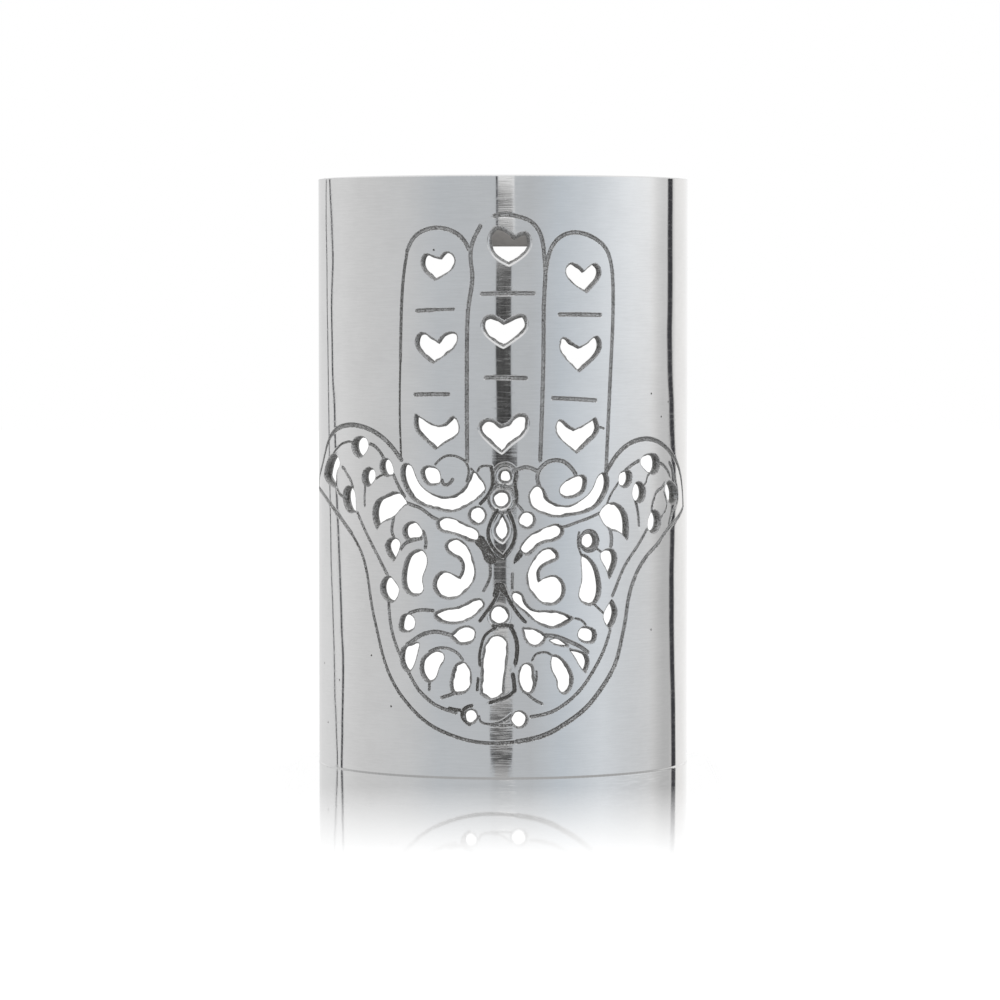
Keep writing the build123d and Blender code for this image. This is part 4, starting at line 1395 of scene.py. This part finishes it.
def slit_in(tree, light, way, bearing, shown_at, mirrored):
    """The tent's light with the slit in it. The slit's places are stored as shares of a whole."""
    whole = 20
    stops = [(at, turn / whole + 0.5, half_width / whole, tone) for at, turn, half_width, tone in slit]
    shape = parts_of(tree, read_off(tree, shown_at, slit[0][0], slit[-1][0], stops))
    past = times_plus(tree, shape["Y"], -whole, off_bearing(tree, bearing, shape["X"], whole))
    folded = place(tree, "Mapping", {"Vector": way, "Scale": fold_stretch}).outputs[0]
    folds = ranged(tree, noise(tree, folded, fold_scale, *fold_detail), *fold_from, *fold_light)
    tone = mixed(tree, ranged(tree, shape["Z"], *folded_under), times(tree, shape["Z"], folds), shape["Z"])
    return mixed(tree, ranged(tree, past, -slit_blur, slit_blur), mixed(tree, mirrored, tone, slit_on_table),
                 light)


def seams_in(tree, light, bearing, shown_at):
    """The tent's light with its dark seams in it."""
    whole = 360
    for half_width, start, path in seams:
        turn = read_off(tree, shown_at, 0, 1, [(at, turn / whole + 0.5) for at, turn in path], smooth=True)
        off = off_bearing(tree, bearing, turn, whole)
        dark = times(tree, ranged(tree, off, *(half_width * part for part in seam_fade), 1, 0),
                     ranged(tree, shown_at, start, start + seam_start),
                     ranged(tree, shown_at, *seam_ends, 1, 0))
        light = mixed(tree, dark, light, seam_colour)
    return light


def tent():
    """The tent's light by compass bearing from the lens, and white behind the object for the lens itself."""
    world = bpy.data.worlds.new("tent")
    bpy.context.scene.world = world
    world.use_nodes = True
    tree = world.node_tree
    shader = next(item for item in tree.nodes if item.type == "BACKGROUND")
    way = place(tree, "TexCoord", {}).outputs["Generated"]
    parts = parts_of(tree, way)
    bearing = times(tree, sum_of(tree, "ARCTAN2", parts["X"], times(tree, parts["Y"], -1)), 180 / pi)
    height = times(tree, parts["Z"], eye_distance / shell_height)
    eye_share = eye_height / shell_height
    mirrored = times(tree, sum_of(tree, "GREATER_THAN", height, on_table[0] * eye_share),
                     sum_of(tree, "LESS_THAN", height, on_table[1] * eye_share))
    shown_at = sum_of(tree, "ADD", height, times_plus(tree, mirrored, -2 * eye_share, eye_share))
    light = tent_walls(tree, bearing, shown_at)
    light = slit_in(tree, light, way, bearing, shown_at, mirrored)
    light = seams_in(tree, light, bearing, shown_at)
    light = mixed(tree, ranged(tree, parts["Z"], *ceiling_from), light, grey(ceiling_light))
    light = mixed(tree, ranged(tree, parts["Z"], *floor_from, 1, 0), light, grey(floor_light))
    tree.links.new(mixed(tree, seen_by_lens(tree), light, grey(1)), shader.inputs["Color"])


def table_finish():
    """The table's white paint, which the object's reflection covers near its foot."""
    finish = bpy.data.materials.new("white_table")
    finish.use_nodes = True
    tree = finish.node_tree
    tree.nodes.clear()
    spot = parts_of(tree, place(tree, "TexCoord", {}).outputs["Object"])
    seen = seen_by_lens(tree)
    paint = place(tree, "BsdfDiffuse", {"Color": grey(table_tone)}).outputs[0]
    lift = place(tree, "Emission", {"Color": grey(1), "Strength": times(tree, seen, table_lift)}).outputs[0]
    white = place(tree, "AddShader", {0: paint, 1: lift}).outputs[0]
    mirror = place(tree, "BsdfGlossy", {"Color": grey(1), "Roughness": table_blur}).outputs[0]
    gloss = times(tree, evenly(tree, spot["Y"], *gloss_front), ranged(tree, spot["Y"], *gloss_behind, 1, 0),
                  ranged(tree, sum_of(tree, "ABSOLUTE", spot["X"]), *gloss_beside, 1, 0), seen)
    place(tree, "OutputMaterial", {0: place(tree, "MixShader", {0: gloss, 1: white, 2: mirror}).outputs[0]})
    return finish


def table():
    """A white table: it shows the object's reflection near its foot and keeps its shadow."""
    bm = bmesh.new()
    bmesh.ops.create_grid(bm, x_segments=1, y_segments=1, size=table_size)
    mesh = bpy.data.meshes.new("table")
    bm.to_mesh(mesh)
    bm.free()
    floor = bpy.data.objects.new("table", mesh)
    bpy.context.scene.collection.objects.link(floor)
    floor.visible_glossy = False
    mesh.materials.append(table_finish())


def camera():
    """The camera, at the photograph's place and angle."""
    lens = bpy.data.cameras.new("camera")
    lens.lens = lens_length
    lens.sensor_width = film_width
    lens.clip_end = sight
    eye = bpy.data.objects.new("camera", lens)
    eye.location = (eye_side, axis_y - eye_distance, eye_height)
    eye.rotation_euler = Euler((radians(90 - look_down), 0, 0))
    bpy.context.scene.collection.objects.link(eye)
    bpy.context.scene.camera = eye


tent()
table()
camera()
bpy.context.scene.view_settings.view_transform = "Standard"
